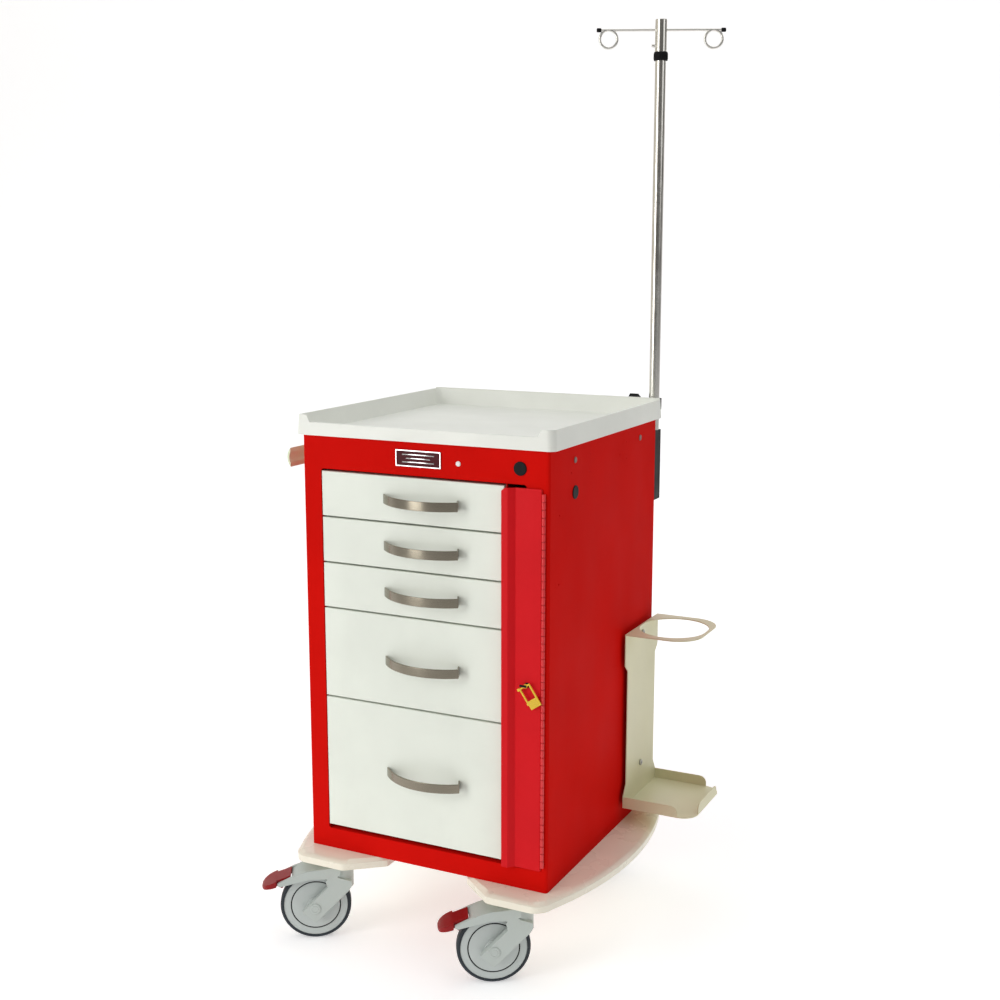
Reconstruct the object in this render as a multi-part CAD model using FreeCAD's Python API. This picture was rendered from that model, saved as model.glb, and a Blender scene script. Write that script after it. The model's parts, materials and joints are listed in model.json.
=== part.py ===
"""Hospital crash cart: a steel drawer cabinet on a lobed base with four braked casters, a moulded work
tray on top, a hinged lock bar, an IV pole, a push handle and an oxygen tank bracket.

Units are millimetres. While the parts are built, x = 0 is the cabinet's middle (+X is the viewer's
right), y = 0 is the cabinet's front face (+Y is the back) and z = 0 is the floor. At the end every part is
shifted so that the origin is at the bottom centre of the whole cart's box.
"""
import FreeCAD
import Part
import math
import os

V = FreeCAD.Vector
X_AXIS = V(1, 0, 0)
Y_AXIS = V(0, 1, 0)
Z_AXIS = V(0, 0, 1)

# ---- driving dimensions: cabinet -------------------------------------------------------------
CAB_W = 458.0            # outside width, an 18 inch cabinet
CAB_D = 479.0            # outside depth
CAB_BOTTOM = 167.0       # underside above the floor
CAB_TOP = 902.0          # top sheet above the floor
SHEET = 1.5              # cabinet sheet thickness
CAB_CORNER = 5.0         # outside bend radius of the vertical corners

OPEN_LEFT = -193.5       # drawer opening in the front frame
OPEN_RIGHT = 190.0
OPEN_BOTTOM = 203.0
OPEN_TOP = 845.5
OPEN_CORNER = 5.0
RETURN_DEPTH = 16.0      # how far the opening's folded edges reach back
UPRIGHT_GAP = 2.5        # inner right panel beyond the drawer fronts
UPRIGHT_CLEAR = 1.0      # inner panels short of the top and bottom sheets
UPRIGHT_FOLD = 12.0      # how far the right panel's fold passes the opening
UPRIGHT_FOLD_TOP = 834.0

# ---- drawers ---------------------------------------------------------------------------------
UNIT = 79.25             # height of one drawer unit (a nominal 3 inch drawer)
DRAWER_UNITS = (1, 1, 1, 2, 3)
DRAWERS_TOP = 842.9      # top of the drawer stack
DRAWER_GAP = 2.8         # gap between neighbouring fronts
FRONT_LEFT = -192.3
FRONT_RIGHT = 150.6
FRONT_DEPTH = 18.0       # depth of the folded front panel
FRONT_EDGE_R = 1.6
BOX_SHEET = 1.2
BOX_BACK = 450.0
BOX_DROP = 6.0           # box floor above the front's lower edge
BOX_HEADROOM = 10.0      # box rim below the front's upper edge
RAIL_SPACE = 11.9        # side space taken by one slide
RAIL_FRONT = 24.0
RAIL_BACK = 452.0
RAIL_HEIGHT = 36.0       # outer channel of a slide
RAIL_INNER_HEIGHT = 30.0
RAIL_SHEET = 1.2
RAIL_FLANGE = 10.0
RAIL_INNER_FLANGE = 7.0
RAIL_WEB_HALF = 8.0      # half height of the strip that joins a slide member to its box
RAIL_ABOVE_FLOOR = 22.0  # slide centre above the box floor
HANDLE_LEFT_X = -72.8    # where the strap leaves the front
HANDLE_CREST = (20.0, -37.5)
HANDLE_END = (76.0, -17.0)   # outer corner where the strap folds back to its foot
HANDLE_FOOT_X = 68.5
HANDLE_HEIGHT = 15.5
HANDLE_THICK = 3.0

# ---- lock bar and its piano hinge ------------------------------------------------------------
BAR_BOTTOM = 205.0
BAR_TOP = 841.0
BAR_SHEET = 1.5
BAR_FACE_Y = -3.6        # front face of the bar's flat panel
BAR_PANEL_LEFT = 172.2   # where the sloping wall leaves the panel
BAR_STRIP_RIGHT = 162.7
BAR_STRIP_LEFT = 151.2
BAR_STRIP_Y = -13.0      # front face of the raised strip
BAR_STRIP_RETURN = 7.0
BAR_CHAMFER = 6.0
HINGE_X = 221.0
HINGE_Y = -3.5
KNUCKLE_R = 3.0
KNUCKLE_PITCH = 12.7
KNUCKLE_COUNT = 49
KNUCKLE_GAP = 1.2
PIN_R = 1.2
PIN_BORE_R = 1.25
LEAF_SHEET = 1.0
LEAF_GAP = 0.1           # between the two folded leaves
LEAF_CLEAR = 3.7         # leaf edge from the pin's axis
LEAF_WIDTH = 14.0

# ---- breakaway seal on the bar -----------------------------------------------------------------
SEAL_PIVOT_X = 193.3
SEAL_PIVOT_Z = 520.3
SEAL_Y = -9.5
SEAL_TILT = 34.0         # degrees that the seal leans
SEAL_THICK = 2.4
HASP_STUD_R = 1.5
SEAL_EYE_BORE_R = 1.56
SEAL_EYE_R = 3.4
SEAL_LEFT = -13.0        # sides of the padlock shape, measured from the pivot
SEAL_RIGHT = 8.5
SEAL_TAG_END = -38.0
SEAL_TAG_START = -23.5
SEAL_LEG_END = -26.0
SEAL_BLOB_END = -29.5
SEAL_BAR_HALF = 1.1
SEAL_LEG = 2.5
HASP_FOOT_R = 4.2
HASP_FOOT_THICK = 1.2
HASP_HEAD_LEFT = 9.6
HASP_HEAD_RIGHT = 2.2
HASP_HEAD_HALF = 1.7
HASP_HEAD_THICK = 1.2
HASP_HEAD_GAP = 0.3      # between the head and the seal

# ---- base and casters --------------------------------------------------------------------------
BASE_BOTTOM = 150.0
BASE_EDGE_TOP = 161.5    # top of the base's upright edge, where its sloping shoulder starts
BASE_SLOPE = 9.0         # plan width of the shoulder
BASE_HALF_WIDTH = 297.0  # widest point of a lobe
BASE_CORNER_X = 244.0
BASE_FRONT_Y = -44.0
BASE_NOSE_INNER_X = 140.0
BASE_INNER_X = 78.0
BASE_INNER_Y = 6.0
BASE_CORNER_R = 24.0
BASE_NOSE = 8.0          # plan size of the inner front corner's rounding
BASE_NOSE_RISE = 6.0
SEAT_GAP = 0.1           # between the chassis parts and the cabinet's underside
FRAME_RAIL_Y = 70.0      # middle of a cross rail, from the cabinet's front or back
FRAME_RAIL_HALF = 20.0
FRAME_WALL = 2.5
CASTER_X = 176.5
CASTER_FRONT_Y = 8.6
CASTER_ANGLE = 211.0     # direction in which the wheels trail, degrees from +X
WHEEL_R = 62.5           # a 125 mm wheel
WHEEL_TRAIL = 45.0       # wheel axle behind the swivel axis
TYRE_INNER_R = 56.5
TYRE_HALF_WIDTH = 10.0
TYRE_SHOULDER_R = 4.5
DISC_HALF_WIDTH = 9.2
HUB_HALF_WIDTH = 14.8
HUB_R = 15.0
GROOVE_OUTER_R = 44.4
GROOVE_INNER_R = 42.2
AXLE_R = 5.95
HUB_BORE_R = 6.0
HOUSING_HALF_WIDTH = 26.0
HOUSING_WALL = 6.0
LEG_THICK = 11.0
NECK_R = 22.5
NECK_BOTTOM = 96.0
NECK_TOP = 149.5
STEM_R = 6.0
STEM_BORE_R = 6.06
HOOD_OUTER_R = 71.0
HOOD_INNER_R = 66.5
HOOD_END_S = 86.0        # where the hood's roof stops and the pedal starts
TAIL_END_S = 110.5       # where the hood's side walls stop
PEDAL_END_S = 138.5
PEDAL_HALF_WIDTH = 25.0  # beyond the walls
PEDAL_NECK_HALF = 19.0   # between the walls
PEDAL_WALL = 3.5
PEDAL_LOW = 80.0         # heights that contain the whole pedal
PEDAL_HIGH = 130.0
PEDAL_PIN_S = 93.0
PEDAL_PIN_Z = 114.0
PEDAL_PIN_R = 2.5
SHOE_HALF_WIDTH = 11.0
STEM_LENGTH = 30.0       # of the stem inside the housing
AXLE_CAP_R = 9.5
AXLE_CAP = 1.2
GROOVE_DEPTH = 1.5
WALL_END_R = 1.5
PEDAL_CORNER_R = 20.0
# outlines in the caster's own upright plane: (distance behind the swivel axis, height above the floor)
LEG_OUTLINE = ((-19, 112), (-20, 104), (-14, 94), (45.5, 35.5), (68, 56.5), (23, 101), (26, 112), (20, 124))
SHOULDER_OUTLINE = ((0, 122), (0, 137.5), (20, 136.8), (50, 134), (66, 130), (62, 126), (20, 121))
HOOD_WALL_LOWER = ((15, 117), (50, 117.5), (66, 114.5), (94, 108.2), (106, 105.4))
HOOD_WALL_UPPER = ((84, 123.8), (64, 130.5), (15, 130))
HOOD_WALL_END_Z = (108.0, 111.3)
ARCH_Z = (117.0, 160.0)
PEDAL_TOP = ((87.5, 124), (95, 121), (115, 114.5), (128, 108.6), (134.5, 105), (138.5, 102))
PEDAL_BELOW = ((138.5, 99.5), (135.5, 98), (127, 100.6), (111, 104.8), (100, 106.2), (90, 109.5),
               (87.5, 112.5))
PEDAL_HOLLOW = ((86.5, 117), (87.5, 120.5), (95, 117.5), (115, 111), (126, 106), (130.5, 103.7), (130.5, 80),
                (86.5, 80))
PEDAL_NECK_END = 130.0
PEDAL_FLARE_S = 112.5    # where the blade starts, behind the hood's walls
PEDAL_PLAN_START = 70.5
SHOE_OUTLINE = ((96, 117.175), (96, 105.5), (103.5, 96.5), (107, 98.5), (111, 104), (110, 112.625))

# ---- work tray ---------------------------------------------------------------------------------
TRAY_HALF_BOTTOM = 240.0
TRAY_HALF_TOP = 238.0
TRAY_FRONT = -7.0
TRAY_BACK = 486.0
TRAY_SKIRT_BOTTOM = 901.6
TRAY_FLOOR_TOP = 905.5
TRAY_RIM = 935.0
TRAY_BACK_RIM = 937.3    # the back edge stands a little higher
TRAY_LIP = 923.0
TRAY_CORNER_R = 13.0
TRAY_RIM_THICK = 5.0
TRAY_WALL_SPREAD = 10.0  # how much the inner wall leans in from rim to floor
TRAY_GAP = 0.5           # round the cabinet's top inside the skirt
NOTCH_DEPTH = 30.0
NOTCH_HALF_TOP = 217.0
NOTCH_HALF_BOTTOM = 211.0

# ---- IV pole -------------------------------------------------------------------------------------
POLE_X = 214.0
POLE_Y = 506.0
POLE_R = 10.0
POLE_BORE_R = 8.8
POLE_BOTTOM = 747.0
POLE_TOP = 1552.0
INNER_R = 8.75
INNER_BORE_R = 7.4
INNER_BOTTOM = 760.0
INNER_TOP = 1588.0
COLLAR_R = 12.4
COLLAR_BOTTOM = 1539.0
COLLAR_TOP = 1554.0
SLEEVE_R = 10.9
SLEEVE_BORE_R = 8.81
SLEEVE_BOTTOM = 1554.5
SLEEVE_TOP = 1610.5
HOOK_ANGLE = 24.5        # direction of the hook rod from +X
HOOK_Z = 1592.0
HOOK_WIRE_R = 2.4
HOOK_RING_R = 15.5
HOOK_RING_AT = 93.5
HOOK_WIRE_END = 112.0
TIP_R = 3.7
TIP_START = 106.5
TIP_END = 115.0
CLAMP_Z = 926.5
KNOB_RIGHT_X = 187.0
KNOB_LENGTH = 21.0
KNOB_R = 14.5
SADDLE_BOTTOM = 744.5
SADDLE_TOP = 875.0
SADDLE_RIGHT = 10.4
SADDLE_LEFT = 14.0
SADDLE_REACH = 13.0      # behind the pole's axis
CLAMP_REACH = 14.0
CLAMP_BELOW = 14.0
CLAMP_ABOVE = 7.0
CLAMP_FRONT_GAP = 3.0    # between the tray and the clamp block
BLOCK_EDGE_R = 2.0
THREAD_BORE_R = 3.06
KNOB_SCREW_R = 3.0
KNOB_BOSS_R = 6.5
KNOB_BOSS = 4.0
KNOB_LOBES = 6
KNOB_LOBE_R = 4.0
SLEEVE_SCREW_Z = 1565.0
SLEEVE_SCREW_R = 1.6
SLEEVE_SCREW_BORE_R = 1.65
SLEEVE_SCREW_HEAD_R = 3.0
SLEEVE_SCREW_END = 6.0

# ---- push handle, on the left side ---------------------------------------------------------------
GRIP_FRONT = 32.0
GRIP_BACK = 447.0
GRIP_BOTTOM = 837.0
GRIP_TOP = 871.0
GRIP_X = -276.8
GRIP_BULGE = 7.0
GRIP_THICK = 4.5
ARM_Y = (100.4, 395.1)
ARM_SHEET = 2.5
ARM_HALF = 20.0
ARM_TOP = 887.0
ARM_WEB = 3.0            # thickness of the two webs of an arm
ARM_WEB_Y = (-18.0, 15.0)
ARM_SCREW_Z = 878.5
ARM_SCREW_Y = (-11.0, 11.0)
GRIP_SEAT = 3.5          # how far the webs reach into the grip
SCREW_R = 4.5
SCREW_HEIGHT = 2.6
SCREW_EDGE_R = 1.4

# ---- oxygen tank bracket, on the right side --------------------------------------------------------
BRACKET_X = 236.5        # inner face of the back plate, held off the cabinet by spacers
BRACKET_SHEET = 2.0
BRACKET_Y = 401.0        # its middle
BRACKET_HALF = 83.5
BRACKET_WAIST_HALF = 70.5
BRACKET_BOTTOM = 199.5
BRACKET_TOP = 528.0
BRACKET_FLANGE = 21.0
RING_REACH = 366.0
RING_CORNER_R = 50.0
RING_HOLE_X = 300.0
RING_HOLE_R = 60.0
RING_HOLE_STRETCH = 8.0
FOOT_REACH = 372.0
BRACKET_SCREW_Z = (260.0, 512.0)
BRACKET_SHOULDER_Z = (222.0, 242.0, 457.0, 469.0)
BRACKET_SCREW_R = 5.5
BRACKET_SCREW_HEIGHT = 3.2
BRACKET_HOLE_R = 3.2
SPACER_R = 7.5
FOOT_CORNER_R = 30.0
FLANGE_END_R = 13.0

# ---- badge, plugs and small holes ----------------------------------------------------------------
BADGE_X = (-47.0, 37.5)
BADGE_Z = (860.0, 888.0)
BADGE_RIM = 2.0
BADGE_DEPTH = 2.2
BADGE_EDGE_R = 0.9
BADGE_FIELD_DEPTH = 1.2
LENS_DEPTH = 1.8
LENS_EDGE_R = 1.2
PLUG_HEAD = 1.6
PLUG_EDGE_R = 0.9
LENS_X = 68.6
LENS_Z = 871.0
LENS_R = 4.4
PLUG_X = 178.6
PLUG_Z = 871.0
PLUG_BORE_R = 9.0
PLUG_HEAD_R = 11.3
SIDE_PLUG_BORE_R = 4.0
SIDE_PLUG_HEAD_R = 5.2
SMALL_HOLE_R = 1.6
BLACK_PLUG_SIDE = ((101.6, 821.5),)
SIDE_PLUGS = ((100.4, 874.5), (395.1, 874.5))
SMALL_HOLES = ((163.0, 875.5), (163.0, 846.0), (85.0, 855.4), (298.0, 856.5), (328.5, 875.5), (328.5, 846.0),
               (39.0, 793.5), (39.0, 680.5))


# ---- small builders --------------------------------------------------------------------------------
def box(x0, x1, y0, y1, z0, z1):
    return Part.makeBox(x1 - x0, y1 - y0, z1 - z0, V(x0, y0, z0))


def rod(radius, start, end):
    start = V(*start)
    run = V(*end) - start
    return Part.makeCylinder(radius, run.Length, start, run)


def ring(outer, inner, start, end):
    return rod(outer, start, end).cut(rod(inner, start, end))


def prism(points, sweep):
    """Solid made by sweeping a flat polygon of 3-D points along a vector."""
    corners = [V(*p) for p in points]
    return Part.Face(Part.makePolygon(corners + corners[:1])).extrude(V(*sweep))


def rounded_outline(x0, x1, y0, y1, radius, z):
    """Closed wire: a rectangle with round corners at height z."""
    k = radius * (1 - math.sqrt(0.5))
    edges = []
    corners = (
        (V(x1 - radius, y0, z), V(x1 - k, y0 + k, z), V(x1, y0 + radius, z)),
        (V(x1, y1 - radius, z), V(x1 - k, y1 - k, z), V(x1 - radius, y1, z)),
        (V(x0 + radius, y1, z), V(x0 + k, y1 - k, z), V(x0, y1 - radius, z)),
        (V(x0, y0 + radius, z), V(x0 + k, y0 + k, z), V(x0 + radius, y0, z)),
    )
    for i, (start, middle, end) in enumerate(corners):
        edges.append(Part.Arc(start, middle, end).toShape())
        edges.append(Part.makeLine(end, corners[(i + 1) % 4][0]))
    return Part.Wire(edges)


def rounded_slab(x0, x1, y0, y1, radius, z0, z1):
    return Part.Face(rounded_outline(x0, x1, y0, y1, radius, z0)).extrude(V(0, 0, z1 - z0))


def fuse(shapes):
    body = shapes[0].multiFuse(list(shapes[1:])) if len(shapes) > 1 else shapes[0]
    return body.removeSplitter()


def group(shapes):
    return Part.makeCompound(shapes)


def mirror_x(shape):
    return shape.mirror(V(0, 0, 0), X_AXIS)


def round_edges(solid, radius, wanted):
    """Rounds every edge of a solid for which wanted(edge) is true."""
    return solid.makeFillet(radius, [edge for edge in solid.Edges if wanted(edge)])


def runs_along(edge, axis):
    straight = edge.Curve.TypeId == "Part::GeomLine"
    return straight and abs(edge.tangentAt(edge.FirstParameter).dot(axis)) > 0.999


# ---- cabinet ---------------------------------------------------------------------------------------
def cabinet_shell():
    """One bent sheet: left side, back and right side, with the front corners folded in."""
    half = CAB_W / 2
    outer = rounded_slab(-half, half, 0, CAB_D, CAB_CORNER, CAB_BOTTOM, CAB_TOP)
    inner = rounded_slab(-half + SHEET, half - SHEET, SHEET, CAB_D - SHEET, CAB_CORNER - SHEET,
                         CAB_BOTTOM, CAB_TOP)
    front_gap = box(-half + CAB_CORNER, half - CAB_CORNER, 0, SHEET, CAB_BOTTOM, CAB_TOP)
    shell = outer.cut(inner).cut(front_gap)
    holes = [rod(PLUG_BORE_R, (0, y, z), (half + 1, y, z)) for y, z in BLACK_PLUG_SIDE]
    holes += [rod(SIDE_PLUG_BORE_R, (0, y, z), (half + 1, y, z)) for y, z in SIDE_PLUGS]
    holes += [rod(SMALL_HOLE_R, (0, y, z), (half + 1, y, z)) for y, z in SMALL_HOLES]
    return shell.cut(group(holes))


def cabinet_end(z0, z1):
    half = CAB_W / 2 - SHEET
    return rounded_slab(-half, half, SHEET, CAB_D - SHEET, CAB_CORNER - SHEET, z0, z1)


def front_frame():
    """Front sheet with the drawer opening, its edges folded back."""
    half = CAB_W / 2 - CAB_CORNER
    plate = box(-half, half, 0, SHEET, CAB_BOTTOM, CAB_TOP)
    opening = box(OPEN_LEFT, OPEN_RIGHT, -1, SHEET + 1, OPEN_BOTTOM, OPEN_TOP)
    opening = round_edges(opening, OPEN_CORNER, lambda e: runs_along(e, Y_AXIS))
    plate = plate.cut(opening).cut(rod(PLUG_BORE_R, (PLUG_X, -1, PLUG_Z), (PLUG_X, SHEET + 1, PLUG_Z)))
    left = box(OPEN_LEFT - SHEET, OPEN_LEFT, SHEET, RETURN_DEPTH, OPEN_BOTTOM - SHEET, OPEN_TOP + SHEET)
    top = box(OPEN_LEFT, FRONT_RIGHT + 1, SHEET, RETURN_DEPTH, OPEN_TOP, OPEN_TOP + SHEET)
    bottom = box(OPEN_LEFT, FRONT_RIGHT + 1, SHEET, RETURN_DEPTH, OPEN_BOTTOM - SHEET, OPEN_BOTTOM)
    return fuse([plate, left, top, bottom])


def slide_uprights():
    """Inner panels that carry the slides; the right one has a folded edge behind the lock bar."""
    low = CAB_BOTTOM + SHEET + UPRIGHT_CLEAR
    high = CAB_TOP - SHEET - UPRIGHT_CLEAR
    back = CAB_D - SHEET - 4 * UPRIGHT_CLEAR
    left = box(OPEN_LEFT - SHEET, OPEN_LEFT, RETURN_DEPTH + 0.2, back, low, high)
    web_x = FRONT_RIGHT + UPRIGHT_GAP
    web = box(web_x, web_x + SHEET, 2 * SHEET, back, low, high)
    fold = box(web_x + SHEET, OPEN_RIGHT + UPRIGHT_FOLD, 2 * SHEET, 3 * SHEET, low, UPRIGHT_FOLD_TOP)
    return group([left, fuse([web, fold])])


# ---- drawers ---------------------------------------------------------------------------------------
def drawer_spans():
    """(bottom, top) of each drawer front, from the top drawer down."""
    spans = []
    top = DRAWERS_TOP
    for units in DRAWER_UNITS:
        bottom = top - units * UNIT
        spans.append((bottom + DRAWER_GAP / 2, top - DRAWER_GAP / 2))
        top = bottom
    return spans


def slide_z(span):
    return span[0] + BOX_DROP + RAIL_ABOVE_FLOOR


def channel(web_x, tip_x, z, height):
    """Slide channel: an upright web with a flange at each edge, pointing from web_x to tip_x."""
    half = height / 2
    web_end = web_x + math.copysign(RAIL_SHEET, tip_x - web_x)
    web = box(min(web_x, web_end), max(web_x, web_end), RAIL_FRONT, RAIL_BACK, z - half, z + half)
    low_x = min(web_end, tip_x)
    high_x = max(web_end, tip_x)
    lower = box(low_x, high_x, RAIL_FRONT, RAIL_BACK, z - half, z - half + RAIL_SHEET)
    upper = box(low_x, high_x, RAIL_FRONT, RAIL_BACK, z + half - RAIL_SHEET, z + half)
    return fuse([web, lower, upper])


def cabinet_slide_rails():
    rails = []
    for span in drawer_spans():
        z = slide_z(span)
        right = FRONT_RIGHT + UPRIGHT_GAP
        rails.append(channel(OPEN_LEFT, OPEN_LEFT + RAIL_FLANGE, z, RAIL_HEIGHT))
        rails.append(channel(right, right - RAIL_FLANGE, z, RAIL_HEIGHT))
    return group(rails)


def drawer_front(span):
    """Folded steel front, open at the back, its visible edges slightly rounded."""
    low, high = span
    skin = box(FRONT_LEFT, FRONT_RIGHT, 0, FRONT_DEPTH, low, high)
    skin = round_edges(skin, FRONT_EDGE_R, lambda e: abs(e.CenterOfMass.y) < 0.01)
    hollow = box(FRONT_LEFT + SHEET, FRONT_RIGHT - SHEET, SHEET, FRONT_DEPTH, low + SHEET, high - SHEET)
    return skin.cut(hollow)


def drawer_box(span):
    """Open-topped box with its two slide members."""
    low = span[0] + BOX_DROP
    high = span[1] - BOX_HEADROOM
    left = OPEN_LEFT + RAIL_SPACE + RAIL_SHEET
    right = FRONT_RIGHT + UPRIGHT_GAP - RAIL_SPACE - RAIL_SHEET
    outer = box(left, right, FRONT_DEPTH, BOX_BACK, low, high)
    inner = box(left + BOX_SHEET, right - BOX_SHEET, FRONT_DEPTH + BOX_SHEET, BOX_BACK - BOX_SHEET,
                low + BOX_SHEET, high + 1)
    z = slide_z(span)
    rail_left = channel(left - RAIL_SHEET, left - RAIL_SHEET - RAIL_INNER_FLANGE, z, RAIL_INNER_HEIGHT)
    rail_right = channel(right + RAIL_SHEET, right + RAIL_SHEET + RAIL_INNER_FLANGE, z, RAIL_INNER_HEIGHT)
    strip_low = z - RAIL_WEB_HALF
    strip_high = z + RAIL_WEB_HALF
    strip_left = box(left - RAIL_SHEET, left, RAIL_FRONT, RAIL_BACK - 4, strip_low, strip_high)
    strip_right = box(right, right + RAIL_SHEET, RAIL_FRONT, RAIL_BACK - 4, strip_low, strip_high)
    return group([outer.cut(inner), fuse([rail_left, strip_left]), fuse([rail_right, strip_right])])


def bow_point(centre, radius, x, z):
    """Point at x on the front side of a circle about an upright axis."""
    return V(x, centre.y - math.sqrt(radius ** 2 - (x - centre.x) ** 2), z)


def drawer_handle(span):
    """Flat strap: it leaves the front at the left, bows outwards and folds back to a foot at the right."""
    low = (span[0] + span[1] - HANDLE_HEIGHT) / 2
    start = V(HANDLE_LEFT_X, 0, low)
    crest = V(*HANDLE_CREST, low)
    fold = V(*HANDLE_END, low)
    foot = V(HANDLE_FOOT_X, 0, low)
    outer = Part.Arc(start, crest, fold).toShape()
    centre = outer.Curve.Center
    radius = outer.Curve.Radius - HANDLE_THICK
    inner_start = V(centre.x - math.sqrt(radius ** 2 - centre.y ** 2), 0, low)
    inner_crest = bow_point(centre, radius, crest.x, low)
    inner_fold = bow_point(centre, radius, fold.x - HANDLE_THICK, low)
    inner_foot = foot - V(HANDLE_THICK, 0, 0)
    outline = Part.Wire([
        outer,
        Part.makeLine(fold, foot),
        Part.makeLine(foot, inner_foot),
        Part.makeLine(inner_foot, inner_fold),
        Part.Arc(inner_fold, inner_crest, inner_start).toShape(),
        Part.makeLine(inner_start, start),
    ])
    return Part.Face(outline).extrude(V(0, 0, HANDLE_HEIGHT))


# ---- lock bar, hinge, hasp and seal ------------------------------------------------------------------
def lock_bar():
    """Flat panel by the hinge, a sloping wall and a raised narrow strip with a return."""
    back = BAR_FACE_Y + BAR_SHEET
    strip_back = BAR_STRIP_Y + BAR_SHEET
    lip_end = strip_back + BAR_STRIP_RETURN
    shift = BAR_SHEET * math.tan(math.radians(22.5))
    section = [
        (HINGE_X - LEAF_CLEAR, back), (HINGE_X - LEAF_CLEAR, BAR_FACE_Y), (BAR_PANEL_LEFT, BAR_FACE_Y),
        (BAR_STRIP_RIGHT, BAR_STRIP_Y), (BAR_STRIP_LEFT, BAR_STRIP_Y), (BAR_STRIP_LEFT, lip_end),
        (BAR_STRIP_LEFT + BAR_SHEET, lip_end), (BAR_STRIP_LEFT + BAR_SHEET, strip_back),
        (BAR_STRIP_RIGHT - shift, strip_back), (BAR_PANEL_LEFT - shift, back),
    ]
    bar = prism([(x, y, BAR_BOTTOM) for x, y in section], (0, 0, BAR_TOP - BAR_BOTTOM))
    front = BAR_STRIP_Y - 1
    corner = prism([(BAR_STRIP_LEFT - 1, front, BAR_TOP), (BAR_STRIP_LEFT + BAR_CHAMFER, front, BAR_TOP),
                    (BAR_STRIP_LEFT - 1, front, BAR_TOP - BAR_CHAMFER)], (0, lip_end - front + 1, 0))
    return bar.cut(corner)


def knuckles(first):
    """Every second knuckle of the piano hinge, starting at the given one, with its tabs' z spans."""
    spans = []
    start = (BAR_BOTTOM + BAR_TOP - KNUCKLE_COUNT * KNUCKLE_PITCH) / 2
    for i in range(first, KNUCKLE_COUNT, 2):
        low = start + i * KNUCKLE_PITCH + KNUCKLE_GAP / 2
        spans.append((low, low + KNUCKLE_PITCH - KNUCKLE_GAP))
    return spans


def hinge_leaf(first, inner_y, outer_y):
    """One leaf with every second knuckle; both leaves lie to the left of the pin, one on the other."""
    near = HINGE_X - LEAF_CLEAR
    pieces = [box(near - LEAF_WIDTH, near, outer_y, inner_y, BAR_BOTTOM + 1, BAR_TOP - 1)]
    for low, high in knuckles(first):
        pieces.append(rod(KNUCKLE_R, (HINGE_X, HINGE_Y, low), (HINGE_X, HINGE_Y, high)))
        pieces.append(box(near, HINGE_X, outer_y, inner_y, low, high))
    bore = rod(PIN_BORE_R, (HINGE_X, HINGE_Y, BAR_BOTTOM), (HINGE_X, HINGE_Y, BAR_TOP))
    return fuse(pieces).cut(bore)


def hinge_leaf_cabinet():
    leaf = hinge_leaf(0, 0, -LEAF_SHEET)
    spans = knuckles(0)
    pin = rod(PIN_R, (HINGE_X, HINGE_Y, spans[0][0]), (HINGE_X, HINGE_Y, spans[-1][1]))
    return group([leaf, pin])


def hinge_leaf_bar():
    return hinge_leaf(1, -LEAF_SHEET - LEAF_GAP, BAR_FACE_Y + BAR_SHEET)


def seal_point(along, up):
    """Point in the seal's own plane: along its width and up its length, from the pivot."""
    tilt = math.radians(SEAL_TILT)
    x = SEAL_PIVOT_X + along * math.cos(tilt) - up * math.sin(tilt)
    z = SEAL_PIVOT_Z + along * math.sin(tilt) + up * math.cos(tilt)
    return x, z


def seal_block(a0, a1, u0, u1, thick):
    corners = [seal_point(a, u) for a, u in ((a0, u0), (a1, u0), (a1, u1), (a0, u1))]
    return prism([(x, SEAL_Y - thick / 2, z) for x, z in corners], (0, thick, 0))


def breakaway_seal():
    """Padlock-shaped plastic seal: an eye on the hasp's stud, two legs, a snap-in blob and a flat tag."""
    front = (SEAL_PIVOT_X, SEAL_Y - SEAL_THICK / 2, SEAL_PIVOT_Z)
    back = (SEAL_PIVOT_X, SEAL_Y + SEAL_THICK / 2, SEAL_PIVOT_Z)
    beyond = SEAL_LEFT - 3.5
    blob_thick = SEAL_THICK + 0.6
    pieces = [
        rod(SEAL_EYE_R, front, back),
        seal_block(beyond, SEAL_RIGHT, -SEAL_BAR_HALF, SEAL_BAR_HALF, SEAL_THICK),
        seal_block(beyond, SEAL_LEFT + 1.5, -2 * SEAL_BAR_HALF, 2 * SEAL_BAR_HALF, blob_thick),
        seal_block(SEAL_RIGHT - SEAL_LEG, SEAL_RIGHT, SEAL_TAG_END, SEAL_BAR_HALF, SEAL_THICK),
        seal_block(SEAL_LEFT, SEAL_LEFT + SEAL_LEG, SEAL_LEG_END, 0, SEAL_THICK),
        seal_block(SEAL_LEFT - 1, SEAL_LEFT + SEAL_LEG + 1, SEAL_BLOB_END, SEAL_LEG_END + 0.5, blob_thick),
        seal_block(SEAL_LEFT + 1, SEAL_RIGHT, SEAL_TAG_END, SEAL_TAG_START, SEAL_THICK),
    ]
    reach = V(0, SEAL_THICK, 0)
    bore = rod(SEAL_EYE_BORE_R, V(*front) - reach, V(*back) + reach)
    return fuse(pieces).cut(bore)


def lock_hasp():
    """Black stud on the bar that the seal hangs on, with a small foot and a long thin head."""
    seat = (SEAL_PIVOT_X, BAR_FACE_Y, SEAL_PIVOT_Z)
    head_start = SEAL_Y - SEAL_THICK / 2 - HASP_HEAD_GAP
    foot = rod(HASP_FOOT_R, seat, (SEAL_PIVOT_X, BAR_FACE_Y - HASP_FOOT_THICK, SEAL_PIVOT_Z))
    stud = rod(HASP_STUD_R, seat, (SEAL_PIVOT_X, head_start, SEAL_PIVOT_Z))
    head = box(SEAL_PIVOT_X - HASP_HEAD_LEFT, SEAL_PIVOT_X + HASP_HEAD_RIGHT, head_start - HASP_HEAD_THICK,
               head_start, SEAL_PIVOT_Z - HASP_HEAD_HALF, SEAL_PIVOT_Z + HASP_HEAD_HALF)
    return fuse([foot, stud, head])


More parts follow.
